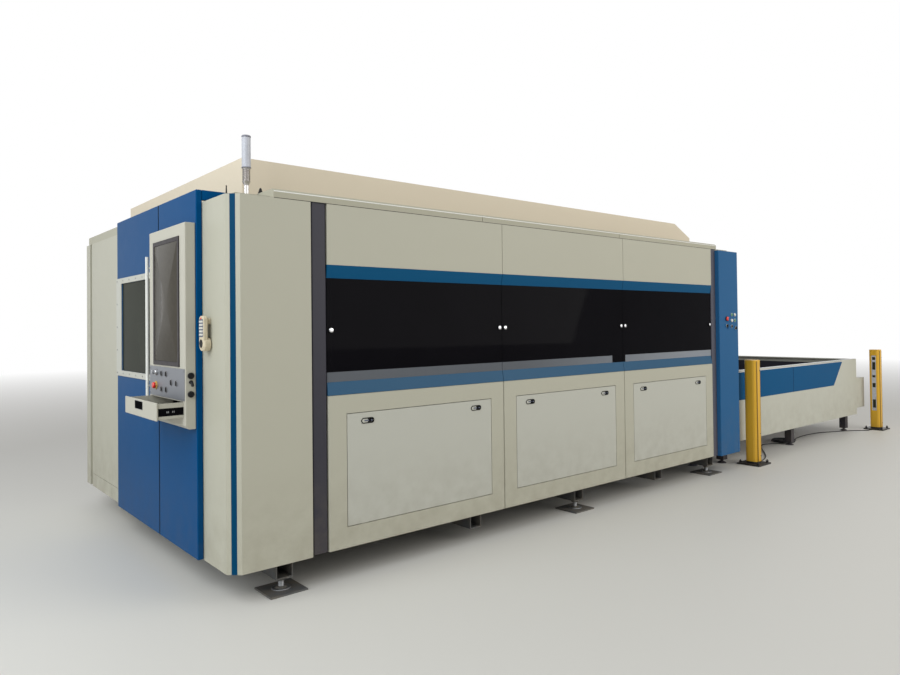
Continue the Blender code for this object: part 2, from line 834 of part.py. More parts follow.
def window(number):
    """A tinted pane with a pull knob near each end."""
    start = bay_start + number * BAY_WIDTH
    x = (start + SEAM / 2, start + BAY_WIDTH - SEAM / 2)
    y = (GLASS_SET_BACK, SHEET)
    z = (window_low + TOUCH, window_high - TOUCH)
    inset = KNOB_RADIUS * 2
    middle = (z[0] + z[1]) / 2
    knobs = [(place, GLASS_SET_BACK - KNOB_PROUD, middle) for place in (x[0] + inset, x[1] - inset)]
    fillet = SHEET * 2
    pane = box(x, (y[0], y[0] + GLASS), z)
    edge = [
        ((x[0], x[0] + fillet / 2), (y[0] + TOUCH, y[1]), z),
        ((x[1] - fillet / 2, x[1]), (y[0] + TOUCH, y[1]), z),
    ]
    return piece(
        f"window_{number + 1}",
        pane,
        "glass",
        add=[boxes(edge), rods(knobs, KNOB_RADIUS, KNOB_PROUD + GLASS / 2, axis="Y", sides=14)],
    )


def upper_panel():
    """The white sheet above the windows, with a seam between bays and a folded lower edge."""
    seams = []
    low = upper_band_top + TOUCH
    for k in range(1, BAY_COUNT):
        middle = bay_start + k * BAY_WIDTH
        seams.append((
            (middle - SEAM / 2, middle + SEAM / 2), (-OVERRUN, SEAM), (low - OVERRUN, COVER_TOP + OVERRUN),
        ))
    x = (bay_start + SEAM / 2, side_end - SEAM / 2)
    return piece("upper_panel", box(x, (0, SHEET), (low, COVER_TOP)), "cream", cut=[boxes(seams)])


# Operator's end

def drawer_range():
    return (CONSOLE_Y + DRAWER_MARGIN, CONSOLE_Y + CONSOLE_WIDTH - DRAWER_MARGIN)


def drawer_slot():
    """The cutter for the slot that the keyboard tray runs through."""
    y = drawer_range()
    side = DRAWER_MARGIN / 2
    z = (DRAWER_Z + side / 2 - TOUCH, DRAWER_Z + DRAWER_HEIGHT - side / 2)
    return box((console_face - OVERRUN, SHEET + OVERRUN), (y[0] + side, y[1] - side), z)


def end_wall():
    """The white end sheet with the doorway behind the sliding door and the slot behind the console."""
    y = (CORNER_END, wall_edge)
    doorway = (end_panel_edge + DOORWAY_MARGIN, door_edge - DOORWAY_MARGIN)
    plinth = SKIRT_HEIGHT + TUBE
    groove = (-OVERRUN, SEAM)
    return piece(
        "end_wall",
        box((0, SHEET), y, (SKIRT_HEIGHT - SEAM, COVER_TOP)),
        "grey_white",
        add=[
            box(
                (SHEET - WELD_SINK, SHEET + TUBE_WALL),
                (wall_edge - TUBE, wall_edge),
                (SKIRT_HEIGHT, COVER_TOP - TUBE),
            ),
        ],
        cut=[
            box((-OVERRUN, SHEET + OVERRUN), doorway, (DOORWAY_LOW, DOORWAY_HIGH)),
            box(groove, (door_edge + SEAM, wall_edge + OVERRUN), (plinth, plinth + SEAM)),
            drawer_slot(),
        ],
    )


def end_panel():
    """The blue sheet that stands proud of the end wall and carries the console."""
    y = (CORNER_END + SEAM / 2, end_panel_edge - SEAM / 2)
    return piece(
        "end_panel",
        eased(box((-END_PROUD, -TOUCH), y, (END_BOTTOM, END_TOP)), SHEET_EDGE),
        "blue",
        cut=[drawer_slot()],
    )


def door_track():
    """The box track on the end wall's head that the sliding door hangs on: its bottom is on the roof deck."""
    low = COVER_TOP + TOUCH
    return ((SEAM, DOOR_TRACK_SIZE), (end_panel_edge, HOUSE_DEPTH - TUBE), (low, END_TOP - 2 * SEAM))


def door_range():
    return (end_panel_edge + SEAM / 2, door_edge - SEAM / 2)


def door_glass_range():
    y = door_range()
    return ((y[0] + SEAM * 2, y[1] - DOOR_GLASS_SIDE), (DOOR_GLASS_Z, DOOR_GLASS_TOP))


def door_leaf():
    """The sliding leaf: a blue sheet with a glazed opening, hung by a hook over the track."""
    y = door_range()
    glass_y, glass_z = door_glass_range()
    track = door_track()
    x = (-END_PROUD, -SEAM / 2)
    hook_y = (y[0] + SEAM * 2, y[1] - SEAM * 2)
    hook = box((x[0] + SEAM, track[0][1]), hook_y, (track[2][1] + TOUCH, track[2][1] + TOUCH + SEAM))
    hole_y = (glass_y[0] - SEAM, glass_y[1] - SEAM)
    return piece(
        "door_leaf",
        eased(box(x, y, (END_BOTTOM, END_TOP)), SHEET_EDGE),
        "blue",
        add=[hook],
        cut=[box((-END_PROUD - OVERRUN, OVERRUN), (glass_y[0] + SEAM * 2, hole_y[1]), glass_z)],
    )


def door_window_frame():
    """The white frame on the door, as wide as the leaf, round the glass."""
    y = door_range()
    _, glass_z = door_glass_range()
    x = (-END_PROUD - DOOR_FRAME_PROUD - TOUCH, -END_PROUD - TOUCH)
    z = (glass_z[0] - DOOR_FRAME_BAR, glass_z[1] + DOOR_FRAME_BAR)
    inner_y = (y[0] + SEAM * 3, y[1] - DOOR_GLASS_SIDE)
    return piece(
        "door_window_frame",
        box(x, y, z),
        "grey_white",
        cut=[box((x[0] - OVERRUN, x[1] + OVERRUN), inner_y, glass_z)],
    )


def door_glass():
    """The tinted pane in the leaf, held behind the frame."""
    y = door_range()
    _, glass_z = door_glass_range()
    x = (-END_PROUD + SEAM, -END_PROUD + SEAM + GLASS)
    side = SEAM * 4
    pane_y = (y[0] + side + TOUCH, y[1] - DOOR_GLASS_SIDE - 2 * SEAM - TOUCH)
    return piece("door_glass", box(x, pane_y, (glass_z[0] + TOUCH, glass_z[1] - TOUCH)), "glass")


def door_handle():
    """A round bar on two standoffs near the leaf's free edge."""
    y = end_panel_edge + HANDLE_FROM_EDGE
    foot = -END_PROUD - TOUCH
    bar_x = foot - HANDLE_STANDOFF
    inset = HANDLE_STANDOFF
    low = (HANDLE_LOW + inset, HANDLE_HIGH - inset)
    bar = tube([(bar_x, y, HANDLE_LOW), (bar_x, y, HANDLE_HIGH)], HANDLE_RADIUS)
    frame_top = DOOR_GLASS_TOP + DOOR_FRAME_BAR
    frame_low = DOOR_GLASS_Z - DOOR_FRAME_BAR
    feet = [(bar_x, y, (low[0] + frame_low) / 2), (bar_x, y, (low[1] + frame_top) / 2)]
    return piece(
        "door_handle",
        solid_of(bar),
        "black",
        add=[rods(feet, HANDLE_RADIUS * 0.7, HANDLE_STANDOFF, axis="X", sides=10)],
    )


# Console

def console_housing():
    """The shallow cream cabinet on the end panel, with the slot of the keyboard drawer and a sloped foot."""
    y = (CONSOLE_Y, CONSOLE_Y + CONSOLE_WIDTH)
    back = -END_PROUD - TOUCH
    face = console_face
    slope = CONSOLE_DEPTH / 3
    outline = [
        (back, CONSOLE_Z),
        (face + slope, CONSOLE_Z),
        (face, CONSOLE_Z + slope),
        (face, CONSOLE_TOP),
        (back, CONSOLE_TOP),
    ]
    body = plate(outline, "Y", *y)
    screen_y = (y[0] + SCREEN_MARGIN, y[1] - SCREEN_MARGIN)
    glands = [
        (back + CONSOLE_DEPTH / 2 - CONSOLE_DEPTH, y[0] - STOP_RADIUS / 2, z)
        for z in (PLATE_Z + STOP_RADIUS * 2, PLATE_TOP - STOP_RADIUS * 2)
    ]
    return piece(
        "console_housing",
        eased(body, SHEET_EDGE),
        "cream",
        add=[rods(glands, STOP_RADIUS * 0.9, STOP_RADIUS, axis="Y", sides=14)],
        cut=[
            drawer_slot(),
            box((face - OVERRUN, face + SCREEN_THICK / 2), screen_y, (SCREEN_Z, SCREEN_TOP)),
            box(
                (face - OVERRUN, face + PLATE_THICK),
                (y[0] + PLATE_SIDE, y[1] - PLATE_SIDE),
                (PLATE_Z, PLATE_TOP),
            ),
        ] + control_holes(),
    )


def console_screen():
    """The portrait screen in its recess: a raised bezel round the display."""
    y = (CONSOLE_Y + SCREEN_MARGIN + TOUCH, CONSOLE_Y + CONSOLE_WIDTH - SCREEN_MARGIN - TOUCH)
    z = (SCREEN_Z + TOUCH, SCREEN_TOP - TOUCH)
    face = console_face - SCREEN_THICK / 2
    back = console_face + SCREEN_THICK / 2 - TOUCH
    rim = SCREEN_THICK * 2
    display = box(
        (face - OVERRUN, face + SCREEN_THICK / 4),
        (y[0] + rim, y[1] - rim),
        (z[0] + rim, z[1] - rim),
    )
    return piece("console_screen", box((face, back), y, z), "screen", cut=[display])


def plate_point(across_share, up_share):
    """A place on the control plate by shares of its width and height, seen from the operator's side."""
    y = CONSOLE_Y + CONSOLE_WIDTH * (1 - across_share)
    return (y, PLATE_Z + (PLATE_TOP - PLATE_Z) * up_share)


def control_places():
    """Name, place on the plate and stem radius of each control of the console."""
    places = [
        ("console_estop", plate_point(*STOP_SHARES), STOP_RADIUS / 2),
        ("console_key_switch", plate_point(*SWITCH_SHARES), SWITCH_RADIUS / 2),
    ]
    for number, shares in enumerate(BUTTON_SHARES):
        places.append((f"console_button_{number + 1}", plate_point(*shares), BUTTON_RADIUS))
    return places


def control_holes():
    """The clearance holes of the controls' stems."""
    deep = BUTTON_RADIUS * 3
    return [
        rod((console_face - OVERRUN, y, z), radius + TOUCH * 2, deep + OVERRUN, axis="X", sides=12)
        for _, (y, z), radius in control_places()
    ]


def console_plate():
    """The brushed plate of the controls."""
    y = (CONSOLE_Y + PLATE_SIDE + TOUCH, CONSOLE_Y + CONSOLE_WIDTH - PLATE_SIDE - TOUCH)
    x = (console_face - PLATE_THICK / 2, console_face + PLATE_THICK - TOUCH)
    sheet = box(x, y, (PLATE_Z + TOUCH, PLATE_TOP - TOUCH))
    return piece("console_plate", sheet, "brushed", cut=control_holes())


def console_controls():
    """Mushroom stop, key switch and oval push buttons, each with a stem in its hole."""
    plate_face = console_face - PLATE_THICK / 2
    deep = BUTTON_RADIUS * 2
    for name, (y, z), radius in control_places():
        if name == "console_estop":
            head = STOP_RADIUS * 0.75
            rise = BUTTON_TRAVEL + STOP_RADIUS
            profile = [
                (0, rise),
                (head, rise),
                (STOP_RADIUS, rise - head / 3),
                (STOP_RADIUS, rise - head),
                (STOP_RADIUS / 2, rise - head),
                (STOP_RADIUS / 2, -deep),
                (0, -deep),
            ]
            shape = turned(profile, (plate_face, y, z), "X", 12)
            shape.rotation_euler = (0, -math.pi / 2, 0)
            piece(name, shape, "red")
        elif name == "console_key_switch":
            rise = SWITCH_RADIUS * 0.8
            profile = [
                (0, rise),
                (SWITCH_RADIUS * 0.8, rise),
                (SWITCH_RADIUS, 0.8 * rise),
                (SWITCH_RADIUS, TOUCH),
                (SWITCH_RADIUS / 2, TOUCH),
                (SWITCH_RADIUS / 2, -deep),
                (0, -deep),
            ]
            shape = turned(profile, (plate_face, y, z), "X", 12)
            shape.rotation_euler = (0, -math.pi / 2, 0)
            grip_x = (plate_face - rise - SWITCH_RADIUS / 2, plate_face - rise + WELD_SINK)
            grip_y = (y - SWITCH_RADIUS / 5, y + SWITCH_RADIUS / 5)
            grip = box(grip_x, grip_y, (z - SWITCH_RADIUS * 0.7, z + SWITCH_RADIUS * 0.7))
            piece(name, shape, "steel", add=[grip])
        else:
            shape = rod((plate_face - BUTTON_TRAVEL - RUN_FIT, y, z), radius, deep, axis="X", sides=12)
            piece(name, shape, "black", pivot=(plate_face, y, z))


def keyboard_drawer():
    """The pulled-out drawer: front plate with a recessed pull, tray with side walls, keyboard on the tray."""
    y = drawer_range()
    front = (drawer_front, drawer_front + DRAWER_PLATE)
    z = (DRAWER_Z, DRAWER_Z + DRAWER_HEIGHT)
    side = DRAWER_MARGIN / 2
    run = RUN_FIT
    tray_y = (y[0] + side + run, y[1] - side - run)
    tray_x = (front[1] - WELD_SINK / 2, front[0] + DRAWER_LENGTH)
    floor_z = (DRAWER_Z + side / 2, DRAWER_Z + side)
    wall_z = (floor_z[0] + side / 8, DRAWER_Z + DRAWER_HEIGHT - side / 2 - run)
    pull = LATCH_WIDTH
    middle = (y[0] + y[1]) / 2
    board_y = (tray_y[0] + side * 3, tray_y[1] - side * 3)
    board_x = (front[1] + side, front[1] + DRAWER_REACH - side)
    board_z = (floor_z[1] - WELD_SINK / 2, floor_z[1] + side)
    keys = []
    rows = 5
    pitch = (board_x[1] - board_x[0] - side) / rows
    for row in range(rows):
        low = board_x[0] + side / 2 + row * pitch
        key_y = (board_y[0] + side / 2, board_y[1] - side / 2)
        keys.append(((low, low + pitch * 0.8), key_y, (board_z[1] - WELD_SINK / 2, board_z[1] + side / 3)))
    return piece(
        "keyboard_drawer",
        eased(box(front, y, z), DRAWER_PLATE / 4),
        "cream",
        add=[
            box(tray_x, (tray_y[0] + side / 6, tray_y[1] - side / 6), floor_z),
            boxes([
                (tray_x, (tray_y[0], tray_y[0] + side / 3), wall_z),
                (tray_x, (tray_y[1] - side / 3, tray_y[1]), wall_z),
            ]),
            box(board_x, board_y, board_z),
            boxes(keys),
        ],
        cut=[box(
            (front[0] - OVERRUN, front[0] + DRAWER_PLATE / 2),
            (middle - pull / 2, middle + pull / 2),
            (DRAWER_Z + DRAWER_HEIGHT * 0.45, DRAWER_Z + DRAWER_HEIGHT * 0.75),
        )],
        pivot=(drawer_front, middle, DRAWER_Z),
    )


def pendant():
    """The handheld pendant, held flat on the corner cover, with a knob and a bumper end."""
    width = PENDANT_WIDTH
    height = PENDANT_HEIGHT
    thick = PENDANT_THICK
    y = (CORNER_END - width - PENDANT_FROM_EDGE, CORNER_END - PENDANT_FROM_EDGE)
    low = PENDANT_LOW
    outline = rounded(y, (low, low + height), width / 4)
    foot = -TOUCH
    knob = (foot - thick - thick / 3, (y[0] + y[1]) / 2, low + height * 0.22)
    holes = []
    for row in range(4):
        z = low + height * (0.42 + 0.12 * row)
        for column in range(2):
            place = y[0] + width * (0.3 + 0.4 * column)
            holes.append((foot - thick - thick / 12, place, z))
    return piece(
        "pendant",
        eased(plate(outline, "X", foot - thick, foot), thick / 8),
        "cream",
        add=[
            rod(knob, width / 5, thick / 2, axis="X", sides=12),
            rods(holes, width / 9, thick / 6, axis="X", sides=6),
        ],
    )


# Gantry

def gantry_feet():
    """Sections of the two feet with a channel for the rail, as outlines in Y and Z."""
    outlines = []
    for y in (near_beam_y, far_beam_y):
        half = BEAM_WIDTH / 2 - RUN_FIT * 10
        channel = [(y + across, rail_bottom + up) for across, up in rail_outline(RUN_FIT)]
        low = rail_bottom + RAIL_HEIGHT * 0.2
        channel[0] = (channel[0][0], low)
        channel[-1] = (channel[-1][0], low)
        slope = half / 3
        outline = channel + [
            (y - half, low),
            (y - half, GANTRY_FOOT_TOP - slope),
            (y - half + slope, GANTRY_FOOT_TOP + WELD_SINK),
            (y + half - slope, GANTRY_FOOT_TOP + WELD_SINK),
            (y + half, GANTRY_FOOT_TOP - slope),
            (y + half, low),
        ]
        outlines.append(outline)
    return outlines


def gantry_beam():
    """A cast beam with triangular pockets in its side, feet over the rails and motor boxes on top."""
    half = GANTRY_FOOT_LENGTH / 2
    feet = plates(gantry_feet(), "X", gantry_x - half, gantry_x + half)
    wide = BEAM_SECTION_WIDTH / 2
    high = GANTRY_FOOT_TOP + BEAM_SECTION_HEIGHT
    edge = wide / 4
    section = [
        (gantry_x - wide, GANTRY_FOOT_TOP + edge),
        (gantry_x - wide + edge, GANTRY_FOOT_TOP),
        (gantry_x + wide - edge, GANTRY_FOOT_TOP),
        (gantry_x + wide, GANTRY_FOOT_TOP + edge),
        (gantry_x + wide, high - edge / 2),
        (gantry_x + wide - edge / 2, high),
        (gantry_x - wide + edge, high),
        (gantry_x - wide, high - edge),
    ]
    inset = BEAM_WIDTH / 2
    beam_y = (near_beam_y - inset * 0.9, far_beam_y + inset * 0.9)
    beam = plate(section, "Y", *beam_y)
    pocket_count = 12
    pockets = []
    rib = edge / 2
    start = near_beam_y + inset
    pitch = (far_beam_y - near_beam_y - 2 * inset) / pocket_count
    low_z = GANTRY_FOOT_TOP + edge * 1.3
    high_z = high - edge * 1.3
    for k in range(pocket_count):
        left = start + k * pitch + rib / 2
        right = left + pitch - rib
        middle = (left + right) / 2
        if k % 2:
            pockets.append([(left, high_z), (middle, low_z), (right, high_z)])
        else:
            pockets.append([(left, low_z), (right, low_z), (middle, high_z)])
    deep = wide / 2
    rail = RAIL_WIDTH * 0.6
    rails = []
    for z in gantry_rail_heights():
        rails.append((
            (gantry_x + wide - WELD_SINK, gantry_x + wide + rail * 0.8),
            beam_y_inner(),
            (z - rail / 2, z + rail / 2),
        ))
    motor = BEAM_WIDTH * 0.3
    motors = [
        ((gantry_x - motor, gantry_x + motor), (y - motor, y + motor), (high - WELD_SINK, high + 2 * motor))
        for y in (near_beam_y, far_beam_y)
    ]
    arm_z = (CHAIN_TOP + TOUCH, CHAIN_TOP + TOUCH + SEAM * 3)
    arm_y = (chain_y, beam_y[0] + edge)
    arm = ((gantry_x - half / 3, gantry_x + half), arm_y, arm_z)
    return piece(
        "gantry_beam",
        beam,
        "bed_grey",
        add=[feet, boxes(rails), eased(boxes(motors), motor / 6), box(*arm)],
        cut=[plates(pockets, "X", gantry_x - wide - OVERRUN, gantry_x - wide + deep)],
    )


def beam_y_inner():
    """The stretch of the beam between its feet, where the carriage rails lie."""
    return (near_beam_y + BEAM_WIDTH / 2, far_beam_y - BEAM_WIDTH / 2)


def gantry_rail_heights():
    quarter = BEAM_SECTION_HEIGHT / 4
    return (GANTRY_FOOT_TOP + quarter, GANTRY_FOOT_TOP + 3 * quarter)


def carriage():
    """The carriage on the beam's two rails, with a hooded motor box that reaches back over the beam."""
    face = gantry_x + carriage_face
    rail = RAIL_WIDTH * 0.6
    x = (face + RUN_FIT * 3, face + RUN_FIT * 3 + CARRIAGE_THICK)
    half = CARRIAGE_WIDTH / 2
    y = (CARRIAGE_Y - half, CARRIAGE_Y + half)
    high = GANTRY_FOOT_TOP + BEAM_SECTION_HEIGHT
    z = (GANTRY_FOOT_TOP + RUN_FIT, high + CARRIAGE_THICK)
    channels = []
    for height in gantry_rail_heights():
        channels.append(((x[0] - OVERRUN, face + rail * 0.8 + RUN_FIT), (y[0] - OVERRUN, y[1] + OVERRUN),
                         (height - rail / 2 - RUN_FIT, height + rail / 2 + TOUCH)))
    hood = [
        (x[1] - WELD_SINK, high + RUN_FIT * 5),
        (x[1] - WELD_SINK, high + BEAM_SECTION_HEIGHT * 0.5),
        (x[0] - CARRIAGE_THICK, high + BEAM_SECTION_HEIGHT * 0.7),
        (gantry_x - carriage_face * 0.6, high + BEAM_SECTION_HEIGHT * 0.7),
        (gantry_x - carriage_face, high + BEAM_SECTION_HEIGHT * 0.5),
        (gantry_x - carriage_face, high + RUN_FIT * 5),
    ]
    inset = CARRIAGE_THICK / 3
    slide_rails = []
    for side in (-1, 1):
        middle = CARRIAGE_Y + side * SLIDE_WIDTH / 4
        rail_y = (middle - inset / 2, middle + inset / 2)
        slide_rails.append(((x[1] - WELD_SINK, x[1] + SEAM * 2), rail_y, (z[0] + inset, z[1] - inset)))
    return piece(
        "carriage",
        box(x, y, z),
        "charcoal",
        add=[plate(hood, "Y", y[0] + inset, y[1] - inset), boxes(slide_rails)],
        cut=[boxes(channels)],
        pivot=(gantry_x, CARRIAGE_Y, GANTRY_FOOT_TOP),
    )


def slide_face():
    """The front face of the carriage's two upright rails."""
    return gantry_x + carriage_face + RUN_FIT * 3 + CARRIAGE_THICK + SEAM * 2


def z_slide():
    """The upright slide with a cable cap on top and a clamp for the head at its foot."""
    x = (slide_face() + TOUCH, slide_face() + TOUCH + SLIDE_THICK)
    half = SLIDE_WIDTH / 2
    y = (CARRIAGE_Y - half, CARRIAGE_Y + half)
    head_x = x[1] + HEAD_RADIUS
    clamp = (
        (x[1] - WELD_SINK, head_x),
        (CARRIAGE_Y - half * 0.8, CARRIAGE_Y + half * 0.8),
        (SLIDE_LOW + SLIDE_THICK, SLIDE_LOW + 3 * SLIDE_THICK),
    )
    cap = (
        (x[0] + SEAM, x[1] + SLIDE_THICK),
        (y[0] + SLIDE_THICK / 2, y[1] - SLIDE_THICK / 2),
        (SLIDE_HIGH - SLIDE_THICK * 2, SLIDE_HIGH - SLIDE_THICK / 2),
    )
    bore = rod((head_x + TOUCH, CARRIAGE_Y, SLIDE_LOW), HEAD_RADIUS + TOUCH, SLIDE_THICK * 4, sides=48)
    return piece(
        "z_slide",
        box(x, y, (SLIDE_LOW, SLIDE_HIGH)),
        "steel",
        add=[box(*clamp), eased(box(*cap), SEAM)],
        cut=[bore],
        pivot=(slide_face(), CARRIAGE_Y, SLIDE_LOW),
    )


def cutting_head():
    """The turned head: fibre socket, collimator tube, focus collar, cone and nozzle."""
    centre_x = slide_face() + TOUCH + SLIDE_THICK + HEAD_RADIUS + TOUCH
    r = HEAD_RADIUS
    top = SLIDE_HIGH - SLIDE_THICK * 3 - NOZZLE_Z
    collar = SLIDE_LOW - NOZZLE_Z
    profile = [
        (0, top), (r * 0.3, top), (r * 0.3, top - r), (r * 0.7, top - r), (r * 0.7, top - 2 * r),
        (r, top - 2 * r - r / 4), (r, collar), (r, collar - r / 2), (r * 1.15, collar - r / 2 - r / 8),
        (r * 1.15, collar - r), (r * 0.8, collar - r), (r * 0.8, r * 1.6), (r * 0.28, r * 0.45),
        (r * 0.28, r * 0.3), (r * 0.1, 0), (0, 0),
    ]
    return piece("cutting_head", turned(profile, (centre_x, CARRIAGE_Y, NOZZLE_Z), sides=16), "steel")


# Energy chain

def drag_chain():
    """The energy chain in its loop: a lower run on a tray, the bend, and an upper run to the gantry's arm."""
    x_start = gantry_x - GANTRY_FOOT_LENGTH / 6
    low_start = BED_START + BEAM_WIDTH
    radius = CHAIN_DROP / 2
    middle = (chain_end - radius, CHAIN_TOP - radius)
    inner_low = chain_bottom + CHAIN_THICK
    inner_high = CHAIN_TOP - CHAIN_THICK
    bend_count = 11
    outline = [(x_start, CHAIN_TOP)] + arc(middle, radius, 90, -90, bend_count) + [(
        low_start, chain_bottom,
    )]
    outline += [(low_start, inner_low)] + arc(middle, radius - CHAIN_THICK, -90, 90, bend_count)
    outline += [(x_start, inner_high)]
    y = (chain_y, chain_y + CHAIN_WIDTH)
    notch = CHAIN_THICK / 5
    gap = CHAIN_LINK / 8
    across = (y[0] - OVERRUN, y[1] + OVERRUN)
    notches = []
    for start, high in ((x_start, CHAIN_TOP), (low_start, inner_low)):
        for k in range(1, int((middle[0] - start) / CHAIN_LINK)):
            x = start + k * CHAIN_LINK
            notches.append(((x - gap / 2, x + gap / 2), across, (high - notch, high + OVERRUN)))
    tray_side = SHEET + TOUCH + FRAME_BAR
    tray_z = (chain_bottom - TUBE_WALL, chain_bottom + WELD_SINK / 2)
    tray = box((low_start - SEAM, chain_end), (tray_side + TOUCH, chain_y + CHAIN_WIDTH + SEAM), tray_z)
    stays = []
    beam_side = near_beam_y - BEAM_WIDTH / 2
    for x in spread(5, low_start + TUBE, chain_end - TUBE):
        stays.append((
            (x, x + TUBE / 2),
            (chain_y + CHAIN_WIDTH / 2, beam_side - TOUCH),
            (BEAM_TOP - TUBE, BEAM_TOP - TUBE / 2),
        ))
    post_y = (chain_y + CHAIN_WIDTH / 2 + WELD_SINK, chain_y + CHAIN_WIDTH)
    post_z = (BEAM_TOP - TUBE + WELD_SINK, chain_bottom - TUBE_WALL / 2)
    uprights = [((x[0] + WELD_SINK, x[1] - WELD_SINK), post_y, post_z) for x, _, _ in stays]
    return piece(
        "drag_chain",
        plate(outline, "Y", *y),
        "black",
        add=[tray, boxes(stays), boxes(uprights)],
        cut=[boxes(notches)],
    )


# Pallets

def pallet(name, x_start, level):
    """A slatted pallet: side bars, end bars and upright slats with teeth that carry the sheet."""
    x = (x_start, x_start + pallet_length)
    half = pallet_width / 2
    y = (bed_centre_y - half, bed_centre_y + half)
    z = (level, level + PALLET_HEIGHT)
    opening = box(
        (x[0] + PALLET_BAR, x[1] - PALLET_BAR),
        (y[0] + PALLET_BAR, y[1] - PALLET_BAR),
        (z[0] - OVERRUN, z[1] + OVERRUN),
    )
    frame = combine(box(x, y, z), [opening], "DIFFERENCE")
    slat_low = level + PALLET_HEIGHT * 0.35
    root = level + PALLET_HEIGHT + SLAT_RISE * (1 - TOOTH_SHARE)
    tip = level + PALLET_HEIGHT + SLAT_RISE
    near, far = y[0] + PALLET_BAR / 2, y[1] - PALLET_BAR / 2
    pitch = (far - near) / SLAT_TEETH
    outline = [(near, slat_low), (far, slat_low), (far, root)]
    for tooth in range(SLAT_TEETH):
        middle = far - (tooth + 0.5) * pitch
        outline += [(middle, tip), (middle - pitch / 2, root)]
    slats = plate(outline, "X", 0, SLAT_THICK)
    places = spread(SLAT_COUNT, x[0] + PALLET_BAR * 1.6, x[1] - PALLET_BAR * 1.6 - SLAT_THICK)
    grid = bmesh.new()
    for place in places:
        copy = slats.data.copy()
        copy.transform(Matrix.Translation((place, 0, 0)))
        grid.from_mesh(copy)
        bpy.data.meshes.remove(copy)
    grid.to_mesh(slats.data)
    grid.free()
    middle = (x[0] + x[1]) / 2
    rib = box(
        (middle - PALLET_BAR / 4, middle + PALLET_BAR / 4),
        (y[0] + PALLET_BAR / 2, y[1] - PALLET_BAR / 2),
        (z[0] + SEAM, slat_low + SEAM),
    )
    return piece(
        name,
        frame,
        "rust",
        add=[slats, rib],
        pivot=(middle, bed_centre_y, level),
    )


# Rear cabinet and roof

def rear_cabinet():
    """The closed cabinet along the back: doors with seams, louvres, and the rear corner with its recess."""
    inner = SHEET + TUBE_WALL + TOUCH
    recess_end = HOUSE_DEPTH - (HOUSE_DEPTH - wall_edge) * 0.7
    end = column_start - PORTAL_FOLD - SEAM
    chamfer = CORNER_CHAMFER / 2
    outline = [
        (inner, cabinet_front),
        (end, cabinet_front),
        (end, HOUSE_DEPTH - SEAM),
        (chamfer, HOUSE_DEPTH - SEAM),
        (0, HOUSE_DEPTH - SEAM - chamfer),
        (0, recess_end),
        (inner, recess_end),
    ]
    low = tube_top + TOUCH
    body = plate(outline, "Z", low, COVER_TOP)
    back = (HOUSE_DEPTH - SEAM * 3, HOUSE_DEPTH + OVERRUN)
    door_count = 5
    margin = TUBE
    edges = spread(door_count + 1, margin, end - margin)
    foot = SKIRT_HEIGHT + TUBE
    head = COVER_TOP - TUBE
    uprights = [((x - SEAM / 2, x + SEAM / 2), back, (foot, head)) for x in edges]
    across = [((edges[0], edges[-1]), back, (z - SEAM / 2, z + SEAM / 2)) for z in (foot, head)]
    louvres = []
    slot = TUBE / 8
    for door in (1, 3):
        for row in range(6):
            z = foot + TUBE + row * slot * 2.5
            louvres.append((
                (edges[door] + TUBE, edges[door + 1] - TUBE),
                (HOUSE_DEPTH - SEAM * 4, HOUSE_DEPTH),
                (z, z + slot),
            ))
    latches = []
    for door in range(door_count):
        x = edges[door + 1] - TUBE / 2
        latches.append((
            (x - slot, x + slot), (HOUSE_DEPTH - SEAM - WELD_SINK, HOUSE_DEPTH), (TUBE * 11, TUBE * 12),
        ))
    return piece(
        "rear_cabinet",
        body,
        "cream",
        add=[boxes(latches)],
        cut=[boxes(uprights), boxes(across), boxes(louvres)],
    )


def roof_deck():
    """The roof sheet with the door's track along the end and the cornice along the long side."""
    low = COVER_TOP + TOUCH
    deck = box(
        (DECK_INSET, house_end - DECK_INSET),
        (DECK_INSET, HOUSE_DEPTH - DECK_INSET),
        (low, low + DECK_THICK),
    )
    track = door_track()
    track_web = ((track[0][0], DECK_INSET + OVERRUN), track[1], track[2])
    cornice_end = column_start + SHEET / 2
    seams = []
    for share in (1 / 3, 2 / 3):
        middle = CORNICE_START + (cornice_end - CORNICE_START) * share
        seams.append((
            (middle - SEAM / 2, middle + SEAM / 2),
            (-OVERRUN, SEAM),
            (low - OVERRUN, low + CORNICE_HEIGHT + OVERRUN),
        ))
    slope = CORNICE_HEIGHT / 4
    section = [
        (0, low),
        (CORNICE_DEPTH, low),
        (CORNICE_DEPTH, low + CORNICE_HEIGHT),
        (slope, low + CORNICE_HEIGHT),
        (0, low + CORNICE_HEIGHT - slope),
    ]
    return piece(
        "roof_deck",
        deck,
        "cream",
        add=[box(*track_web), plate(section, "X", CORNICE_START, cornice_end)],
        cut=[boxes(seams)],
    )


def roof_hood():
    """The raised extraction hood on the roof, with a sloped far end and a seam between its sheets."""
    low = COVER_TOP + TOUCH + DECK_THICK + TOUCH
    foot = hood_ridge_end + HOOD_SLANT
    drop = HOOD_SLANT * 0.48
    outline = [
        (HOOD_START, low),
        (foot, low),
        (foot, hood_top - drop),
        (hood_ridge_end, hood_top),
        (HOOD_START, hood_top),
    ]
    seams = []
    for k in range(1, BAY_COUNT):
        middle = bay_start + k * BAY_WIDTH
        seams.append((
            (middle - SEAM / 2, middle + SEAM / 2), (0, HOUSE_DEPTH), (hood_top - SEAM, hood_top + OVERRUN),
        ))
    return piece("roof_hood", plate(outline, "Y", HOOD_NEAR_Y, hood_far_y), "cream", cut=[boxes(seams)])


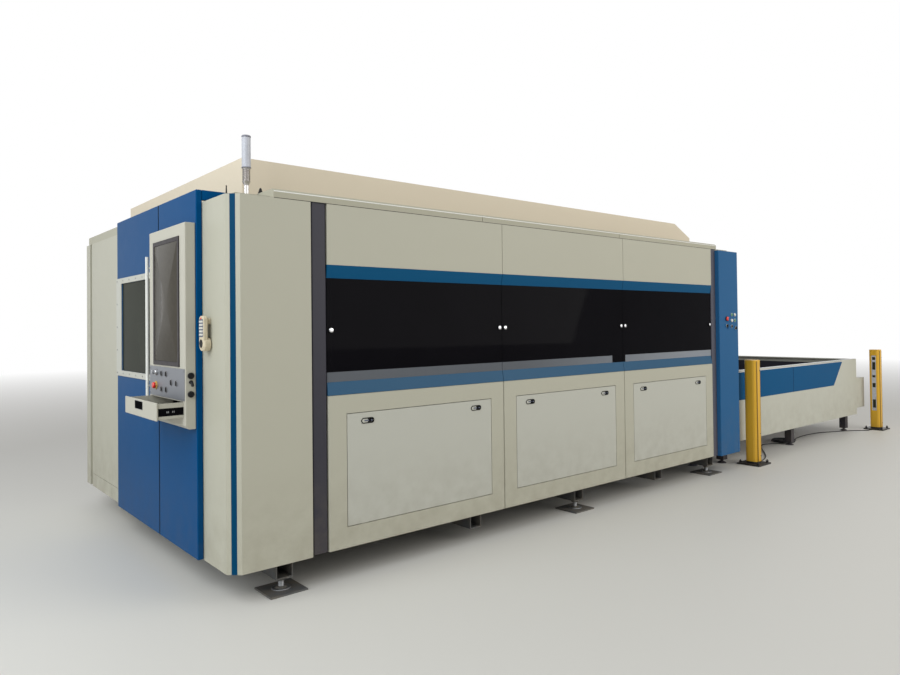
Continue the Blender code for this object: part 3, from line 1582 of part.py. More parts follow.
def stack_light():
    """The signal lamp on the roof: foot, narrow neck, clear lens and cap."""
    r = LAMP_RADIUS
    h = LAMP_HEIGHT
    profile = [
        (0, h), (r * 0.6, h), (r * 0.95, h - r * 0.4), (r * 0.95, h - r), (r, h - r), (r, h * 0.45),
        (r * 0.85, h * 0.42), (r * 0.85, h * 0.30), (r * 0.55, h * 0.26), (r * 0.45, h * 0.06),
        (r * 0.9, h * 0.04), (r, 0), (0, 0),
    ]
    place = (LAMP_X, LAMP_Y, COVER_TOP + TOUCH + DECK_THICK + TOUCH)
    return piece("stack_light", turned(profile, place, sides=16), "lamp")


# Exit portal

def portal_face():
    """The outer face of the portal's box, on which the exit door runs."""
    return house_end - PORTAL_DOOR_SPACE


def exit_door_range():
    lap = LEDGE_WIDTH * 0.7
    return (ledge_near_y - lap, ledge_far_y + lap)


def portal_frame():
    """The box frame of the exit: opening with pallet ledges, door guides, header cover and the side strip."""
    near = COLUMN_DEPTH - COLUMN_PROUD + TOUCH
    low = tube_top + TOUCH
    x = (column_start - PORTAL_FOLD, portal_face())
    body = box(x, (near, HOUSE_DEPTH), (low, COVER_TOP))
    opening = box(
        (x[0] - OVERRUN, house_end + OVERRUN), (ledge_near_y, ledge_far_y), (
            PORTAL_OPEN_LOW, PORTAL_OPEN_HIGH,
        )
    )
    combine(body, [opening], "DIFFERENCE")
    ledges = []
    for level in (UPPER_LEVEL, LOWER_LEVEL):
        z = (level - TOUCH - LEDGE_THICK, level - TOUCH)
        ledges.append((x, (ledge_near_y - WELD_SINK, ledge_near_y + LEDGE_WIDTH), z))
        ledges.append((x, (ledge_far_y - LEDGE_WIDTH, ledge_far_y + WELD_SINK), z))
    door = exit_door_range()
    door_back = portal_face() + TOUCH
    door_front = door_back + DOOR_SLAB
    guide = DOOR_SLAB
    lip = DOOR_SLAB * 0.8
    outer = house_end - TOUCH
    top = COVER_TOP
    guide_z = (PORTAL_OPEN_LOW, top)
    near_guide = (door[0] - RUN_FIT - guide, door[0] - RUN_FIT)
    far_guide = (door[1] + RUN_FIT, door[1] + RUN_FIT + guide)
    guides = [((x[1] - WELD_SINK, outer), y, guide_z) for y in (near_guide, far_guide)]
    lip_x = (door_front + RUN_FIT, outer)
    lips = [
        (lip_x, (near_guide[1] - WELD_SINK, near_guide[1] + lip), guide_z),
        (lip_x, (far_guide[0] - lip, far_guide[0] + WELD_SINK), guide_z),
    ]
    stop_z = (DOOR_LOW - TOUCH - guide, DOOR_LOW - TOUCH)
    stops = [
        (
            (x[1] - WELD_SINK, door_front + WELD_SINK),
            (near_guide[1] - WELD_SINK, near_guide[1] + lip),
            stop_z,
        ),
        (
            (x[1] - WELD_SINK, door_front + WELD_SINK),
            (far_guide[0] - lip, far_guide[0] + WELD_SINK),
            stop_z,
        ),
    ]
    header = (
        (door_front + RUN_FIT * 5, outer - SEAM),
        (near_guide[0] + SEAM, far_guide[1] - SEAM),
        (PORTAL_OPEN_HIGH + TUBE, top - SEAM),
    )
    strip_start = side_end + SEAM / 2
    strip_end = column_start - TOUCH
    strip = [
        (strip_start, PILLAR_SET_BACK), (strip_end, PILLAR_SET_BACK), (strip_end, near + WELD_SINK),
        (x[0] + SEAM / 4, near + WELD_SINK), (x[0] + SEAM / 4, SHEET), (strip_start, SHEET),
    ]
    foot_x = (x[0] + x[1]) / 2 + TUBE / 2
    feet = [(foot_x, y, 0) for y in (near + TUBE, HOUSE_DEPTH - TUBE)]
    return piece(
        "portal_frame",
        body,
        "charcoal",
        add=[
            boxes(ledges),
            boxes(guides),
            boxes(lips),
            boxes(stops),
            box(*header),
            plate(strip, "Z", SKIRT_HEIGHT, COVER_TOP - SEAM / 4),
            rods(feet, SPINDLE_RADIUS, low + OVERRUN, sides=8),
            rods(feet, FOOT_RADIUS, FOOT_HEIGHT, sides=12, end_radius=FOOT_RADIUS / 2),
        ],
    )


def column_place(shares):
    """A place on the column's outer face, where its controls sit."""
    x = column_start + COLUMN_WIDTH * shares[0]
    return (x, -COLUMN_PROUD, COLUMN_CONTROL_Z + COLUMN_CONTROL_PITCH * shares[1])


def portal_column():
    """The blue corner column with its stop, buttons and selectors joined to it."""
    x = (column_start, house_end)
    y = (-COLUMN_PROUD, COLUMN_DEPTH - COLUMN_PROUD)
    rise = BUTTON_RADIUS
    button_feet = []
    for shares in COLUMN_CONTROL_SHARES:
        place = column_place(shares)
        button_feet.append((place[0], place[1] - rise, place[2]))
    selector_feet = []
    for shares in COLUMN_SELECTOR_SHARES:
        place = column_place(shares)
        selector_feet.append((place[0], place[1] - rise * 1.5, place[2]))
    stop = column_place(COLUMN_STOP_SHARES)
    return piece(
        "portal_column",
        eased(box(x, y, (tube_top + TOUCH, COLUMN_TOP)), SHEET_EDGE),
        "blue",
        add=[
            rods(button_feet, BUTTON_RADIUS * 1.4, rise + WELD_SINK, axis="Y", sides=12),
            rods(selector_feet, BUTTON_RADIUS * 1.6, rise * 1.5 + WELD_SINK, axis="Y", sides=12),
            rod(
                (stop[0], stop[1] - STOP_RADIUS, stop[2]),
                STOP_RADIUS,
                STOP_RADIUS * 0.6,
                axis="Y",
                sides=14,
            ),
            rod(
                (stop[0], stop[1] - STOP_RADIUS * 0.6, stop[2]),
                STOP_RADIUS * 0.6,
                STOP_RADIUS * 0.6 + WELD_SINK,
                axis="Y",
                sides=12,
            ),
        ],
    )


def exit_door():
    """The lifting door above the pallets' way out, a slab with pressed grooves on its outer face."""
    y = exit_door_range()
    x = (portal_face() + TOUCH, portal_face() + TOUCH + DOOR_SLAB)
    z = (DOOR_LOW, DOOR_LOW + DOOR_HEIGHT)
    margin = TUBE
    groove = DOOR_SLAB / 6
    grooves = []
    for share in (0.25, 0.5, 0.75):
        middle = z[0] + DOOR_HEIGHT * share
        grooves.append((
            (x[1] - groove, x[1] + OVERRUN),
            (y[0] + margin, y[1] - margin),
            (middle - groove * 2, middle + groove * 2),
        ))
    return piece("exit_door", box(x, y, z), "grey_white", cut=[boxes(grooves)])


# Shuttle table

def table_legs():
    """Places of the legs along X."""
    return [table_start + table_length * share for share in TABLE_LEG_SHARES]


def table_frame():
    """Two deep beams with pallet ledges at both levels, an end plate, cross ties, and legs on round feet."""
    x = (house_end, table_end - TABLE_SHEET - TOUCH)
    beam_x = (x[0], x[1] - WELD_SINK)
    ledge_x = (x[0], x[1] - TUBE_WALL)
    top = TABLE_TOP - TABLE_SHEET * 4
    z = (TABLE_BEAM_LOW, top)
    near = (ledge_near_y - TABLE_BEAM_WIDTH, ledge_near_y)
    far = (ledge_far_y, ledge_far_y + TABLE_BEAM_WIDTH)
    body = boxes([(beam_x, near, z), (beam_x, far, z)])
    ledges = []
    for level in (UPPER_LEVEL, LOWER_LEVEL):
        ledge_z = (level - TOUCH - LEDGE_THICK, level - TOUCH)
        ledges.append((ledge_x, (ledge_near_y - WELD_SINK, ledge_near_y + LEDGE_WIDTH), ledge_z))
        ledges.append((ledge_x, (ledge_far_y - LEDGE_WIDTH, ledge_far_y + WELD_SINK), ledge_z))
    end_plate = (
        (x[1] - TUBE_WALL * 3, x[1]),
        (near[0] + WELD_SINK, far[1] - WELD_SINK),
        (TABLE_BEAM_LOW + WELD_SINK, top - WELD_SINK),
    )
    half = TABLE_LEG / 2
    legs = []
    ties = []
    brackets = []
    feet = []
    leg_far_y = 2 * bed_centre_y - TABLE_LEG_Y
    skirt_near = TABLE_NEAR_Y + TABLE_SHEET + TOUCH
    skirt_far = table_far_y - TABLE_SHEET - TOUCH
    leg_low = FOOT_HEIGHT * 2
    for leg in table_legs():
        across = (leg - half, leg + half)
        legs.append((across, (TABLE_LEG_Y - half, TABLE_LEG_Y + half), (leg_low, TABLE_TOP * 0.8)))
        legs.append((across, (leg_far_y - half, leg_far_y + half), (leg_low, TABLE_TOP * 0.8)))
        ties.append((
            (leg - half * 0.8, leg + half * 0.8),
            (TABLE_LEG_Y, leg_far_y),
            (TABLE_LOW, TABLE_BEAM_LOW + WELD_SINK),
        ))
        for level in (TABLE_LOW + TABLE_LEG, TABLE_TOP * 0.7):
            bracket_z = (level, level + half)
            brackets.append((
                (leg - half / 2, leg + half / 2), (skirt_near, TABLE_LEG_Y - half + WELD_SINK), bracket_z,
            ))
            brackets.append((
                (leg - half / 2, leg + half / 2), (leg_far_y + half - WELD_SINK, skirt_far), bracket_z,
            ))
        feet += [(leg, TABLE_LEG_Y, 0), (leg, leg_far_y, 0)]
    hole_low = LOWER_LEVEL + SEAM * 4
    hole_high = UPPER_LEVEL - LEDGE_THICK - SEAM * 4
    holes = []
    for start in spread(4, x[0] + TUBE * 2, x[1] - 6 * TUBE):
        holes.append(((start, start + 3.6 * TUBE), (0, HOUSE_DEPTH), (hole_low, hole_high)))
    combine(body, [boxes(holes)], "DIFFERENCE")
    return piece(
        "table_frame",
        body,
        "charcoal",
        add=[
            boxes(ledges),
            box(*end_plate),
            boxes(legs),
            boxes(ties),
            boxes(brackets),
            rods(feet, SPINDLE_RADIUS, leg_low + OVERRUN, sides=8),
            rods(feet, FOOT_RADIUS, FOOT_HEIGHT, sides=12, end_radius=FOOT_RADIUS / 2),
        ],
    )


def table_skirt():
    """The sheet skirt round three sides of the table, its folded top edge and the drive's cover."""
    near, far = TABLE_NEAR_Y, table_far_y
    sheet = TABLE_SHEET
    start = table_start

    def skirt_outline(inset, wide):
        end = table_end - inset
        outer = (near + inset, far - inset)
        inner = (near + wide, far - wide)
        return [
            (start, outer[0]), (end, outer[0]), (end, outer[1]), (start, outer[1]),
            (start, inner[1]), (table_end - wide, inner[1]), (table_end - wide, inner[0]), (
                start, inner[0],
            ),
        ]

    body = plate(skirt_outline(0, sheet), "Z", TABLE_LOW, TABLE_TOP)
    rim = plate(skirt_outline(sheet / 2, sheet * 3), "Z", TABLE_TOP - sheet, TABLE_TOP - SEAM / 4)
    cover = box(
        (table_end - sheet / 2, table_end + DRIVE_COVER_LENGTH),
        (near + SEAM, near + DRIVE_COVER_LENGTH * 1.3),
        (TABLE_LOW + TABLE_LEG, TABLE_LOW + TABLE_LEG + DRIVE_COVER_LENGTH * 1.5),
    )
    return piece("table_skirt", body, "cream", add=[rim, cover])


def table_inlay():
    """The painted panel on the skirt with its slanted far end."""
    y = TABLE_NEAR_Y - TOUCH
    high = TABLE_TOP - INLAY_MARGIN
    start = table_start + INLAY_MARGIN
    end = table_end - INLAY_SHORT
    outline = [(start, INLAY_LOW), (end - INLAY_SLANT, INLAY_LOW), (end, high), (start, high)]
    return piece("table_inlay", plate(outline, "Y", y - INLAY_THICK, y), "blue")


# Light guards and their cable

def light_post(name, x, facing):
    """A yellow guard post: rounded column with a lens channel that faces its partner, on a bolted base."""
    half = POST_WIDTH / 2
    column = plate(
        rounded((x - half, x + half), (-half, half), POST_CORNER),
        "Z",
        POST_BASE_THICK - WELD_SINK,
        POST_HEIGHT,
    )
    base_half = POST_BASE / 2
    base = box((x - base_half, x + base_half), (-base_half, base_half), (0, POST_BASE_THICK))
    bolt = base_half * 0.78
    bolts = [
        (x + side * bolt, end * bolt, POST_BASE_THICK - WELD_SINK / 2)
        for side in (-1, 1) for end in (-1, 1)
    ]
    lens = POST_WIDTH * 0.22
    deep = POST_WIDTH * 0.08
    inner = x + facing * half
    channel = box(
        tuple(sorted((inner - facing * deep, inner + facing * OVERRUN))), (-lens, lens), (
            POST_WIDTH * 2, POST_HEIGHT - POST_WIDTH * 0.6,
        )
    )
    gland_x = tuple(sorted((x + facing * (base_half - WELD_SINK), x + facing * (base_half + GLAND_SIZE))))
    gland = box(gland_x, (GLAND_Y - GLAND_SIZE / 2, GLAND_Y + GLAND_SIZE / 2), (0, POST_BASE_THICK * 1.2))
    return piece(
        name,
        base,
        "yellow",
        add=[column, gland, rods(bolts, POST_BASE_THICK * 0.8, POST_BASE_THICK * 1.2, sides=6)],
        cut=[channel],
    )


def beside_coil(angle):
    """Where the cable lies against the coil's outer turn, at an angle about the coil's middle in degrees."""
    reach = COIL_RADIUS + CABLE_RADIUS + TOUCH
    turn = math.radians(angle)
    return (coil_x + reach * math.cos(turn), COIL_Y + reach * math.sin(turn))


# Routes of the guard cable on the floor, as chosen points between the glands and the coil
FAR_ROUTE = (
    (8.76, 0.02), (8.70, 0.03), (8.62, 0.09), (8.53, 0.17), (8.28, 0.30),
    (8.03, 0.40), (7.78, 0.43), (7.50, 0.42), (7.31, 0.38),
)
NEAR_ROUTE = (
    (6.90, 0.38), (6.78, 0.45), (6.64, 0.47), (6.42, 0.36),
    (6.20, 0.22), (6.00, 0.10), (5.82, 0.03), (5.75, 0.02),
)


def smooth_route(points, count):
    """Places spread along a Catmull-Rom curve through the route's points."""
    padded = [points[0], *points, points[-1]]
    found = []
    for k in range(count):
        place = (len(points) - 1) * k / (count - 1)
        leg = min(int(place), len(points) - 2)
        t = place - leg
        a, b, c, d = (Vector(padded[leg + j]) for j in range(4))
        bend = (c - a) * t + (2 * a - 5 * b + 4 * c - d) * t * t + (3 * b - a - 3 * c + d) * t * t * t
        found.append(b + bend / 2)
    return found


def guard_cable(name, route, count):
    rest = CABLE_RADIUS + TOUCH
    places = [(place.x, place.y, rest) for place in smooth_route([Vector(point) for point in route], count)]
    cord = tube(places, CABLE_RADIUS, resolution=1)
    cord.name = name
    cord.data.name = name
    cord.parent = machine
    cord.data.materials.append(look_of("black"))
    pieces.objects.link(cord)
    return cord


def guard_cable_coil():
    """The outer shape of the coil that lies on the floor under the table."""
    profile = [
        (COIL_INNER, COIL_HEIGHT - COIL_HEIGHT / 5), (COIL_INNER + COIL_HEIGHT / 5, COIL_HEIGHT),
        (COIL_RADIUS - COIL_HEIGHT / 5, COIL_HEIGHT), (COIL_RADIUS, COIL_HEIGHT - COIL_HEIGHT / 5),
        (COIL_RADIUS, TOUCH), (COIL_INNER, TOUCH), (COIL_INNER, COIL_HEIGHT - COIL_HEIGHT / 5),
    ]
    return piece("guard_cable_coil", turned(profile, (coil_x, COIL_Y, 0), sides=24), "black")


def build():
    bed_frame()
    house_frame()
    guide_rail("guide_rail_front", near_beam_y)
    guide_rail("guide_rail_rear", far_beam_y)
    corner_cover()
    corner_stripe()
    pillar()
    for number in range(BAY_COUNT):
        side_bay(number)
        service_panel(number)
        window(number)
    band("band_lower", LOWER_BAND_Z, window_low, (0, GLASS_SET_BACK))
    band("band_upper", window_high, upper_band_top, (GLASS_SET_BACK, 0))
    upper_panel()
    end_wall()
    end_panel()
    door_leaf()
    door_window_frame()
    door_glass()
    door_handle()
    console_housing()
    console_screen()
    console_plate()
    console_controls()
    keyboard_drawer()
    pendant()
    gantry_beam()
    carriage()
    z_slide()
    cutting_head()
    drag_chain()
    pallet("upper_pallet", pallet_in_x, UPPER_LEVEL)
    pallet("lower_pallet", table_start + table_length - pallet_length - PALLET_BAR * 2, LOWER_LEVEL)
    rear_cabinet()
    roof_deck()
    roof_hood()
    stack_light()
    portal_frame()
    portal_column()
    exit_door()
    table_frame()
    table_skirt()
    table_inlay()
    light_post("light_post_near", post_near_x, 1)
    light_post("light_post_far", post_far_x, -1)
    gland_reach = POST_BASE / 2 + GLAND_SIZE + TOUCH
    far_start = (post_far_x - gland_reach, GLAND_Y)
    near_end = (post_near_x + gland_reach, GLAND_Y)
    guard_cable("guard_cable_far", (far_start, *FAR_ROUTE, beside_coil(COIL_ENTRY)), 36)
    guard_cable("guard_cable_near", (beside_coil(COIL_EXIT), *NEAR_ROUTE, near_end), 30)
    guard_cable_coil()


build()
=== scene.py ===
"""Dresses the fiber laser cutting machine: paint, glass, fine fittings, guard cable and stage."""

import math

import bpy
import numpy as np
from mathutils import Matrix, Vector


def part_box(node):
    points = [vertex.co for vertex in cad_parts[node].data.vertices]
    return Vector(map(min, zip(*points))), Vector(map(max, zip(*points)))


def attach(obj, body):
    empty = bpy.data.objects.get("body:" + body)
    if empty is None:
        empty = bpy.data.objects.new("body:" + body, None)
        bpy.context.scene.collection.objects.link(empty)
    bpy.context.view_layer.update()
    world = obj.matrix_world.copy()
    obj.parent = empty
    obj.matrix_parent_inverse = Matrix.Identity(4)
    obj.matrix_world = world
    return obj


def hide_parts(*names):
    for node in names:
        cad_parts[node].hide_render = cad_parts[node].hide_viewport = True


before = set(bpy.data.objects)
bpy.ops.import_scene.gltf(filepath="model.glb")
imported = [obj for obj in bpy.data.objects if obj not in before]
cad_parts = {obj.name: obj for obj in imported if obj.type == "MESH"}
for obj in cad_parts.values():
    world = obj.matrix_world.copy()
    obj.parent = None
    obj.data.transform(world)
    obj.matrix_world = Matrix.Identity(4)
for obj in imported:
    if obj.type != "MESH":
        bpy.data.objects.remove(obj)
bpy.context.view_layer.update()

bl_info = {
    "name": "Laser Machine Dressing",
    "version": (1, 0, 0),
    "blender": (4, 5, 0),
    "location": "3D View > Sidebar > Laser Machine",
    "description": "Paint, glass, fittings, guard cable and stage of a fiber laser cutting machine",
    "category": "Object",
}

CORNER = Vector((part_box("end_wall")[0].x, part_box("side_bay_1")[0].y, 0.0))

# Places along the machine from its corner, heights above the floor, and sizes
# Stretch of the machine over which the ledge seen in the panes gets painted light, growing lighter towards the
# exit
LEDGE_PAINTED_LIGHT = (2.2, 4.4)
LEDGE_HIGH = 0.058
CHAIN_AT = 3.31
INLAY_SEAM = 6.80
WEAR_STRIP_END = 8.66
CORNICE_X = (0.2505, 4.835)
AERIAL_AT = (0.10, 0.29)
ROOF_GLAND_AT = (0.155, 0.245)
BRACKET_AT = (0.245, 0.222)
RETURN_LONG = 0.20
RETURN_WIDE = 0.033
FOOT_X = (0.331, 2.842, 4.8)
FOOT_Y = (0.115, 3.085)
POST_X = {"light_post_near": 5.54, "light_post_far": 8.95}
POST_HALF = 0.065
POST_PLATE_TOP = 0.034
POST_BOLT_OUT = 0.0975
POST_BOLT_Z = 0.015
LENS_Z = (0.26, 1.012)
GLAND_Z = (1.118, 1.222)
PLUG_Z = 1.186
COLUMN_WIDE = 0.36
COLUMN_CONTROLS_Z = 1.507
COLUMN_PITCH = 0.058
COLUMN_PROUD = 0.035
LATCH_IN = 0.140
LATCH_DOWN = 0.050
KNOB_IN = 0.025
PALLET_BAR = 0.060
PALLET_DEEP = 0.080
SLAT_REACH = 0.034
SLAT_BOTTOM = 0.028

# Shares of the lens strip's height that its dark marks take up
LENS_MARKS = ((0.05, 0.20), (0.42, 0.50), (0.60, 0.64), (0.74, 0.88), (0.92, 0.97))
# The guard posts' upright grooves, drawn as dark yellow strips that are painted shade: how far from the
# middle, and how wide
POST_GROOVES = ((0.038, 0.0045), (-0.030, 0.020))
POST_SCREWS_Z = (0.09, 0.32, 0.98)
# The exit column's buttons, selectors and stop: share of its width, steps up from the middle, colour
COLUMN_BUTTONS = (
    (0.64, 1, "green"), (0.64, 0, "white"), (0.64, -1, "black"), (0.80, 1, "white"), (0.80, 0, "green")
)
COLUMN_SELECTORS = ((0.38, -0.9), (0.84, -1.3))
COLUMN_STOP = (0.38, 0.3)
# Index of refraction of the panes
PANE_INDEX = 1.14

# Right, up and outward directions of each way a fitting can face
FACINGS = {
    "-X": np.array(((0, -1, 0), (0, 0, 1), (-1, 0, 0)), float),
    "+X": np.array(((0, 1, 0), (0, 0, 1), (1, 0, 0)), float),
    "-Y": np.array(((1, 0, 0), (0, 0, 1), (0, -1, 0)), float),
    "+Y": np.array(((-1, 0, 0), (0, 0, 1), (0, 1, 0)), float),
    "+Z": np.array(((1, 0, 0), (0, 1, 0), (0, 0, 1)), float),
}


def linear(red, green, blue):
    """A display colour from 0 to 255 as the linear colour that a shader takes."""
    shares = np.array((red, green, blue)) / 255
    low = shares / 12.92
    high = ((shares + 0.055) / 1.055) ** 2.4
    return tuple(float(value) for value in np.where(shares <= 0.04045, low, high))


def colour(name, words, *display):
    """A colour that the user can change, given by its display value."""
    return bpy.props.FloatVectorProperty(
        name=name, description=words, subtype="COLOR", size=3, min=0, max=1, default=linear(*display)
    )


def length(name, words, default):
    """A size in metres that the user can change."""
    return bpy.props.FloatProperty(
        name=name, description=words, default=default, min=0, unit="LENGTH", precision=4
    )


def power(name, words, default):
    """A lamp's power that the user can change."""
    return bpy.props.FloatProperty(name=name, description=words, default=default, min=0, unit="POWER")


def count(name, words, default, low, high):
    """A number of like pieces that the user can change."""
    return bpy.props.IntProperty(name=name, description=words, default=default, min=low, max=high)


class PaintColours(bpy.types.PropertyGroup):
    """Colours of the machine's paints and plastics."""

    cream: colour("Cream", "Powder coat of the house's sheets", 178, 176, 160)
    # Partly painted light: a warmer cream of the hood's own, also set lighter to stand for the light from
    # above
    roof: colour("Roof cream", "Warmer coat of the roof hood", 214, 202, 180)
    inset: colour(
        "Panel white", "Coat of the inset service panels and the door's window frame", 184, 184, 174
    )
    blue: colour("Blue", "Coat of the operator's end", 4, 71, 121)
    band: colour("Band blue", "Coat of the corner stripe", 4, 64, 98)
    charcoal: colour("Charcoal", "Coat of the pillar and table frame", 50, 49, 58)
    # Partly painted shade: a grey enamel, set darker to stand for the shade under the machine
    frame_grey: colour("Frame grey", "Enamel of the bed and gantry", 76, 78, 80)
    yellow: colour("Guard yellow", "Coat of the guard posts", 216, 167, 47)
    red: colour("Stop red", "Moulded heads of the stops", 224, 46, 34)
    black: colour("Moulded black", "Moulded plastic of latches, chain and buttons", 24, 24, 26)
    ledge: colour("Ledge tone", "Light inner ledge that shows low in the windows", 112, 116, 122)
    glass: colour("Pane tint", "Tint of the panes", 16, 15, 19)


class FittingSizes(bpy.types.PropertyGroup):
    """Sizes of the fittings that the scene adds."""

    screw: length("Screw head", "Radius of the small round screw heads", 0.0055)
    knob: length("Window knob", "Radius of the window knobs", 0.0135)
    bezel: length("Screen bezel", "Width of the dark rim round the display", 0.026)
    key_pitch: length("Key pitch", "Distance between the keyboard's keys", 0.019)
    bolt: length("Post bolt", "Radius of the bolt heads on the guard posts' plates", 0.011)


class GuardCableSizes(bpy.types.PropertyGroup):
    """Sizes of the light guards' cable on the floor."""

    diameter: length("Cable", "Outer diameter of the cable", 0.010)
    coil: length("Coil", "Outer radius of the coil on the floor", 0.14)
    turns: count("Turns", "Turns of the coil", 10, 1, 10)


class PalletSizes(bpy.types.PropertyGroup):
    """Sizes and counts of the pallets' slats."""

    slats: count("Slats", "Slats of one pallet", 40, 4, 80)
    teeth: count("Teeth", "Teeth of one slat", 26, 4, 60)
    thick: length("Slat thickness", "Thickness of the slats' sheet", 0.004)
    tooth: length("Tooth height", "Height of the slats' teeth", 0.028)


class StageSizes(bpy.types.PropertyGroup):
    """Sizes and light levels of the plain stage."""

    floor: length("Floor", "Half the width of the floor", 60.0)
    fade_start: length("Fade start", "Distance at which the floor starts to fade to white", 7.0)
    fade_end: length("Fade end", "Distance at which the floor is white", 24.0)
    sky: bpy.props.FloatProperty(
        name="Sky", description="Strength of the light from all round", default=0.36, min=0
    )
    key: power("Key lamp", "Power of the large lamp at the operator's end", 500)
    fill: power("Fill lamp", "Power of the large lamp on the window side", 455)


def settings(group):
    """The scene's values of one group of settings."""
    return getattr(bpy.context.scene, "laser_machine_" + group)


# Surfaces

def mm(*values):
    """A profile in metres, from its insets and heights in millimetres, pair by pair."""
    return (np.reshape(values, (-1, 2)) / 1000).tolist()


def circle(radius, sides=24):
    """Points of a circle: the angle runs once round in equal steps."""
    turn = np.linspace(0, 2 * np.pi, sides, endpoint=False)
    return np.stack((radius * np.cos(turn), radius * np.sin(turn)), 1)


def round_rect(width, height, radius, steps=5):
    """Points of a rectangle with round corners: a quarter circle about the middle of each corner in turn."""
    radius = max(min(radius, width / 2 - 1e-5, height / 2 - 1e-5), 1e-5)
    turn = np.linspace(0, np.pi / 2, steps)[None, :] + np.array((0, 1, 2, 3))[:, None] * np.pi / 2
    middle = np.array(((1, 1), (-1, 1), (-1, -1), (1, -1))) * (width / 2 - radius, height / 2 - radius)
    arc = np.stack((np.cos(turn), np.sin(turn)), 2) * radius
    return (middle[:, None, :] + arc).reshape(-1, 2)


def disc(radius, sides=24):
    """An outline function of a circle."""
    return lambda inset: circle(max(radius - inset, 1e-5), sides)


def knurled(radius, ribs, depth, sides):
    """An outline function of a circle whose radius swings by the depth's share, once for each rib."""
    wave = 1 + depth * np.cos(ribs * np.linspace(0, 2 * np.pi, sides, endpoint=False))
    return lambda inset: circle(radius - inset, sides) * wave[:, None]


def slab(width, height, corner, steps=5):
    """An outline function of a rectangle with round corners."""
    return lambda inset: round_rect(width - 2 * inset, height - 2 * inset, corner - inset, steps)


def skin(rings, closed=False):
    """Vertices and faces through rings of points: quads between neighbours, and a fan on each open end."""
    rings = np.asarray(rings, float)
    number, around = rings.shape[:2]
    row, point = np.meshgrid(np.arange(number if closed else number - 1), np.arange(around), indexing="ij")
    after, beside = (row + 1) % number, (point + 1) % around
    quads = np.stack([first * around + second for first, second in (
        (row, point), (row, beside), (after, beside), (after, point)
    )], -1)
    points = rings.reshape(-1, 3)
    if closed:
        return points, [quads.reshape(-1, 4)]
    here, there = np.arange(around), (np.arange(around) + 1) % around
    last = (number - 1) * around
    low = np.stack((np.full(around, number * around), there, here), 1)
    high = np.stack((np.full(around, number * around + 1), last + here, last + there), 1)
    return np.vstack((points, rings[[0, -1]].mean(1))), [quads.reshape(-1, 4), low, high]


def stacked(outline, profile, place, facing, tilt=0.0):
    """Rings: the outline, drawn in by each inset of the profile, at that height above the place."""
    right, up, out = FACINGS[facing]
    across = math.cos(tilt) * right + math.sin(tilt) * up
    upward = math.cos(tilt) * up - math.sin(tilt) * right
    flats = [(outline(inset), height) for inset, height in profile]
    return [place + flat[:, :1] * across + flat[:, 1:] * upward + height * out for flat, height in flats]


def raised(outline, profile, place, facing="+Z", tilt=0.0):
    """A boss: the outline stacked along the facing by the profile, and closed at both ends."""
    return skin(stacked(outline, profile, np.asarray(place), facing, tilt))


def ring(outline, width, height, place, facing="+Z"):
    """A flat ring: up its outer wall, inwards along its top by the width, and down its inner wall."""
    ease = min(width, height) * 0.25
    outer = ((0, 0), (0, height - ease), (ease, height))
    profile = (*outer, (width - ease, height), (width, height - ease), (width, 0))
    return skin(stacked(outline, profile, np.asarray(place), facing), closed=True)


def block(x, y, z, edge=0.002):
    """A block between three pairs of coordinates, its upright and upper edges eased."""
    middle = ((x[0] + x[1]) / 2, (y[0] + y[1]) / 2, z[0])
    high = z[1] - z[0]
    profile = ((edge, 0), (0, edge), (0, high - edge), (edge * 0.3, high - edge * 0.3), (edge, high))
    return raised(slab(x[1] - x[0], y[1] - y[0], edge * 1.5, 3), profile, middle)


def domed(radius, height, rise=0.3):
    """Insets and heights of a turned head: straight side, then a quarter of an ellipse to the top."""
    turn = np.linspace(0, np.pi / 2, 6)[:-1]
    arc = np.stack((radius * (1 - np.cos(turn)), height * (1 - rise) + height * rise * np.sin(turn)), 1)
    return [(0, 0), *arc.tolist(), (radius * 0.93, height)]


def screw_head(radius, height, sides, place, facing):
    """A small turned head."""
    return raised(disc(radius, sides), domed(radius, height), place, facing)


def along(points, radius, sides=12):
    """A round tube: a circle carried along the points, square to the path and turned as little as can be."""
    points = np.asarray(points, float)
    tangent = np.gradient(points, axis=0)
    tangent /= np.linalg.norm(tangent, axis=1)[:, None]
    side = np.cross(tangent[0], (0, 0, 1.0))
    side = side if np.linalg.norm(side) > 1e-3 else np.array((1.0, 0, 0))
    turn = np.linspace(0, 2 * np.pi, sides, endpoint=False)[:, None]
    rings = []
    for place, way in zip(points, tangent):
        side = side - way * side.dot(way)
        side /= np.linalg.norm(side)
        rings.append(place + radius * (np.cos(turn) * side + np.sin(turn) * np.cross(way, side)))
    return skin(rings)


def toothed_slats(x_places, y, z, teeth, thick, rise):
    """Upright slats: the lower edge is straight, and the upper edge goes up and down once for each tooth."""
    steps = np.linspace(y[0], y[1], 2 * teeth + 1)
    high = z[1] - rise * (np.arange(2 * teeth + 1) % 2 == 0)
    low = np.full_like(high, z[0])
    corners = [(-1, low), (1, low), (1, high), (-1, high)]
    one = np.stack(
        [np.stack((np.full_like(steps, side * thick / 2), steps, height), 1) for side, height in corners], 1
    )
    around = np.arange(4)
    first = np.arange(2 * teeth)[:, None] * 4 + around
    beside = np.arange(2 * teeth)[:, None] * 4 + (around + 1) % 4
    quads = np.stack((first, first + 4, beside + 4, beside), -1).reshape(-1, 4)
    last = 8 * teeth
    quads = np.vstack((quads, [[0, 1, 2, 3]], [[last + 3, last + 2, last + 1, last]]))
    points = one.reshape(-1, 3)
    offsets = np.stack((x_places, np.zeros(len(x_places)), np.zeros(len(x_places))), 1)
    every = (points[None] + offsets[:, None]).reshape(-1, 3)
    return every, [(quads + (np.arange(len(x_places)) * len(points))[:, None, None]).reshape(-1, 4)]


def spot(x, y, z):
    """A place given from the machine's corner, in the frame of the solids."""
    return np.array((CORNER.x + x, CORNER.y + y, z))


def middle_of(node):
    """The middle of a node's box."""
    low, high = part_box(node)
    return (low + high) / 2


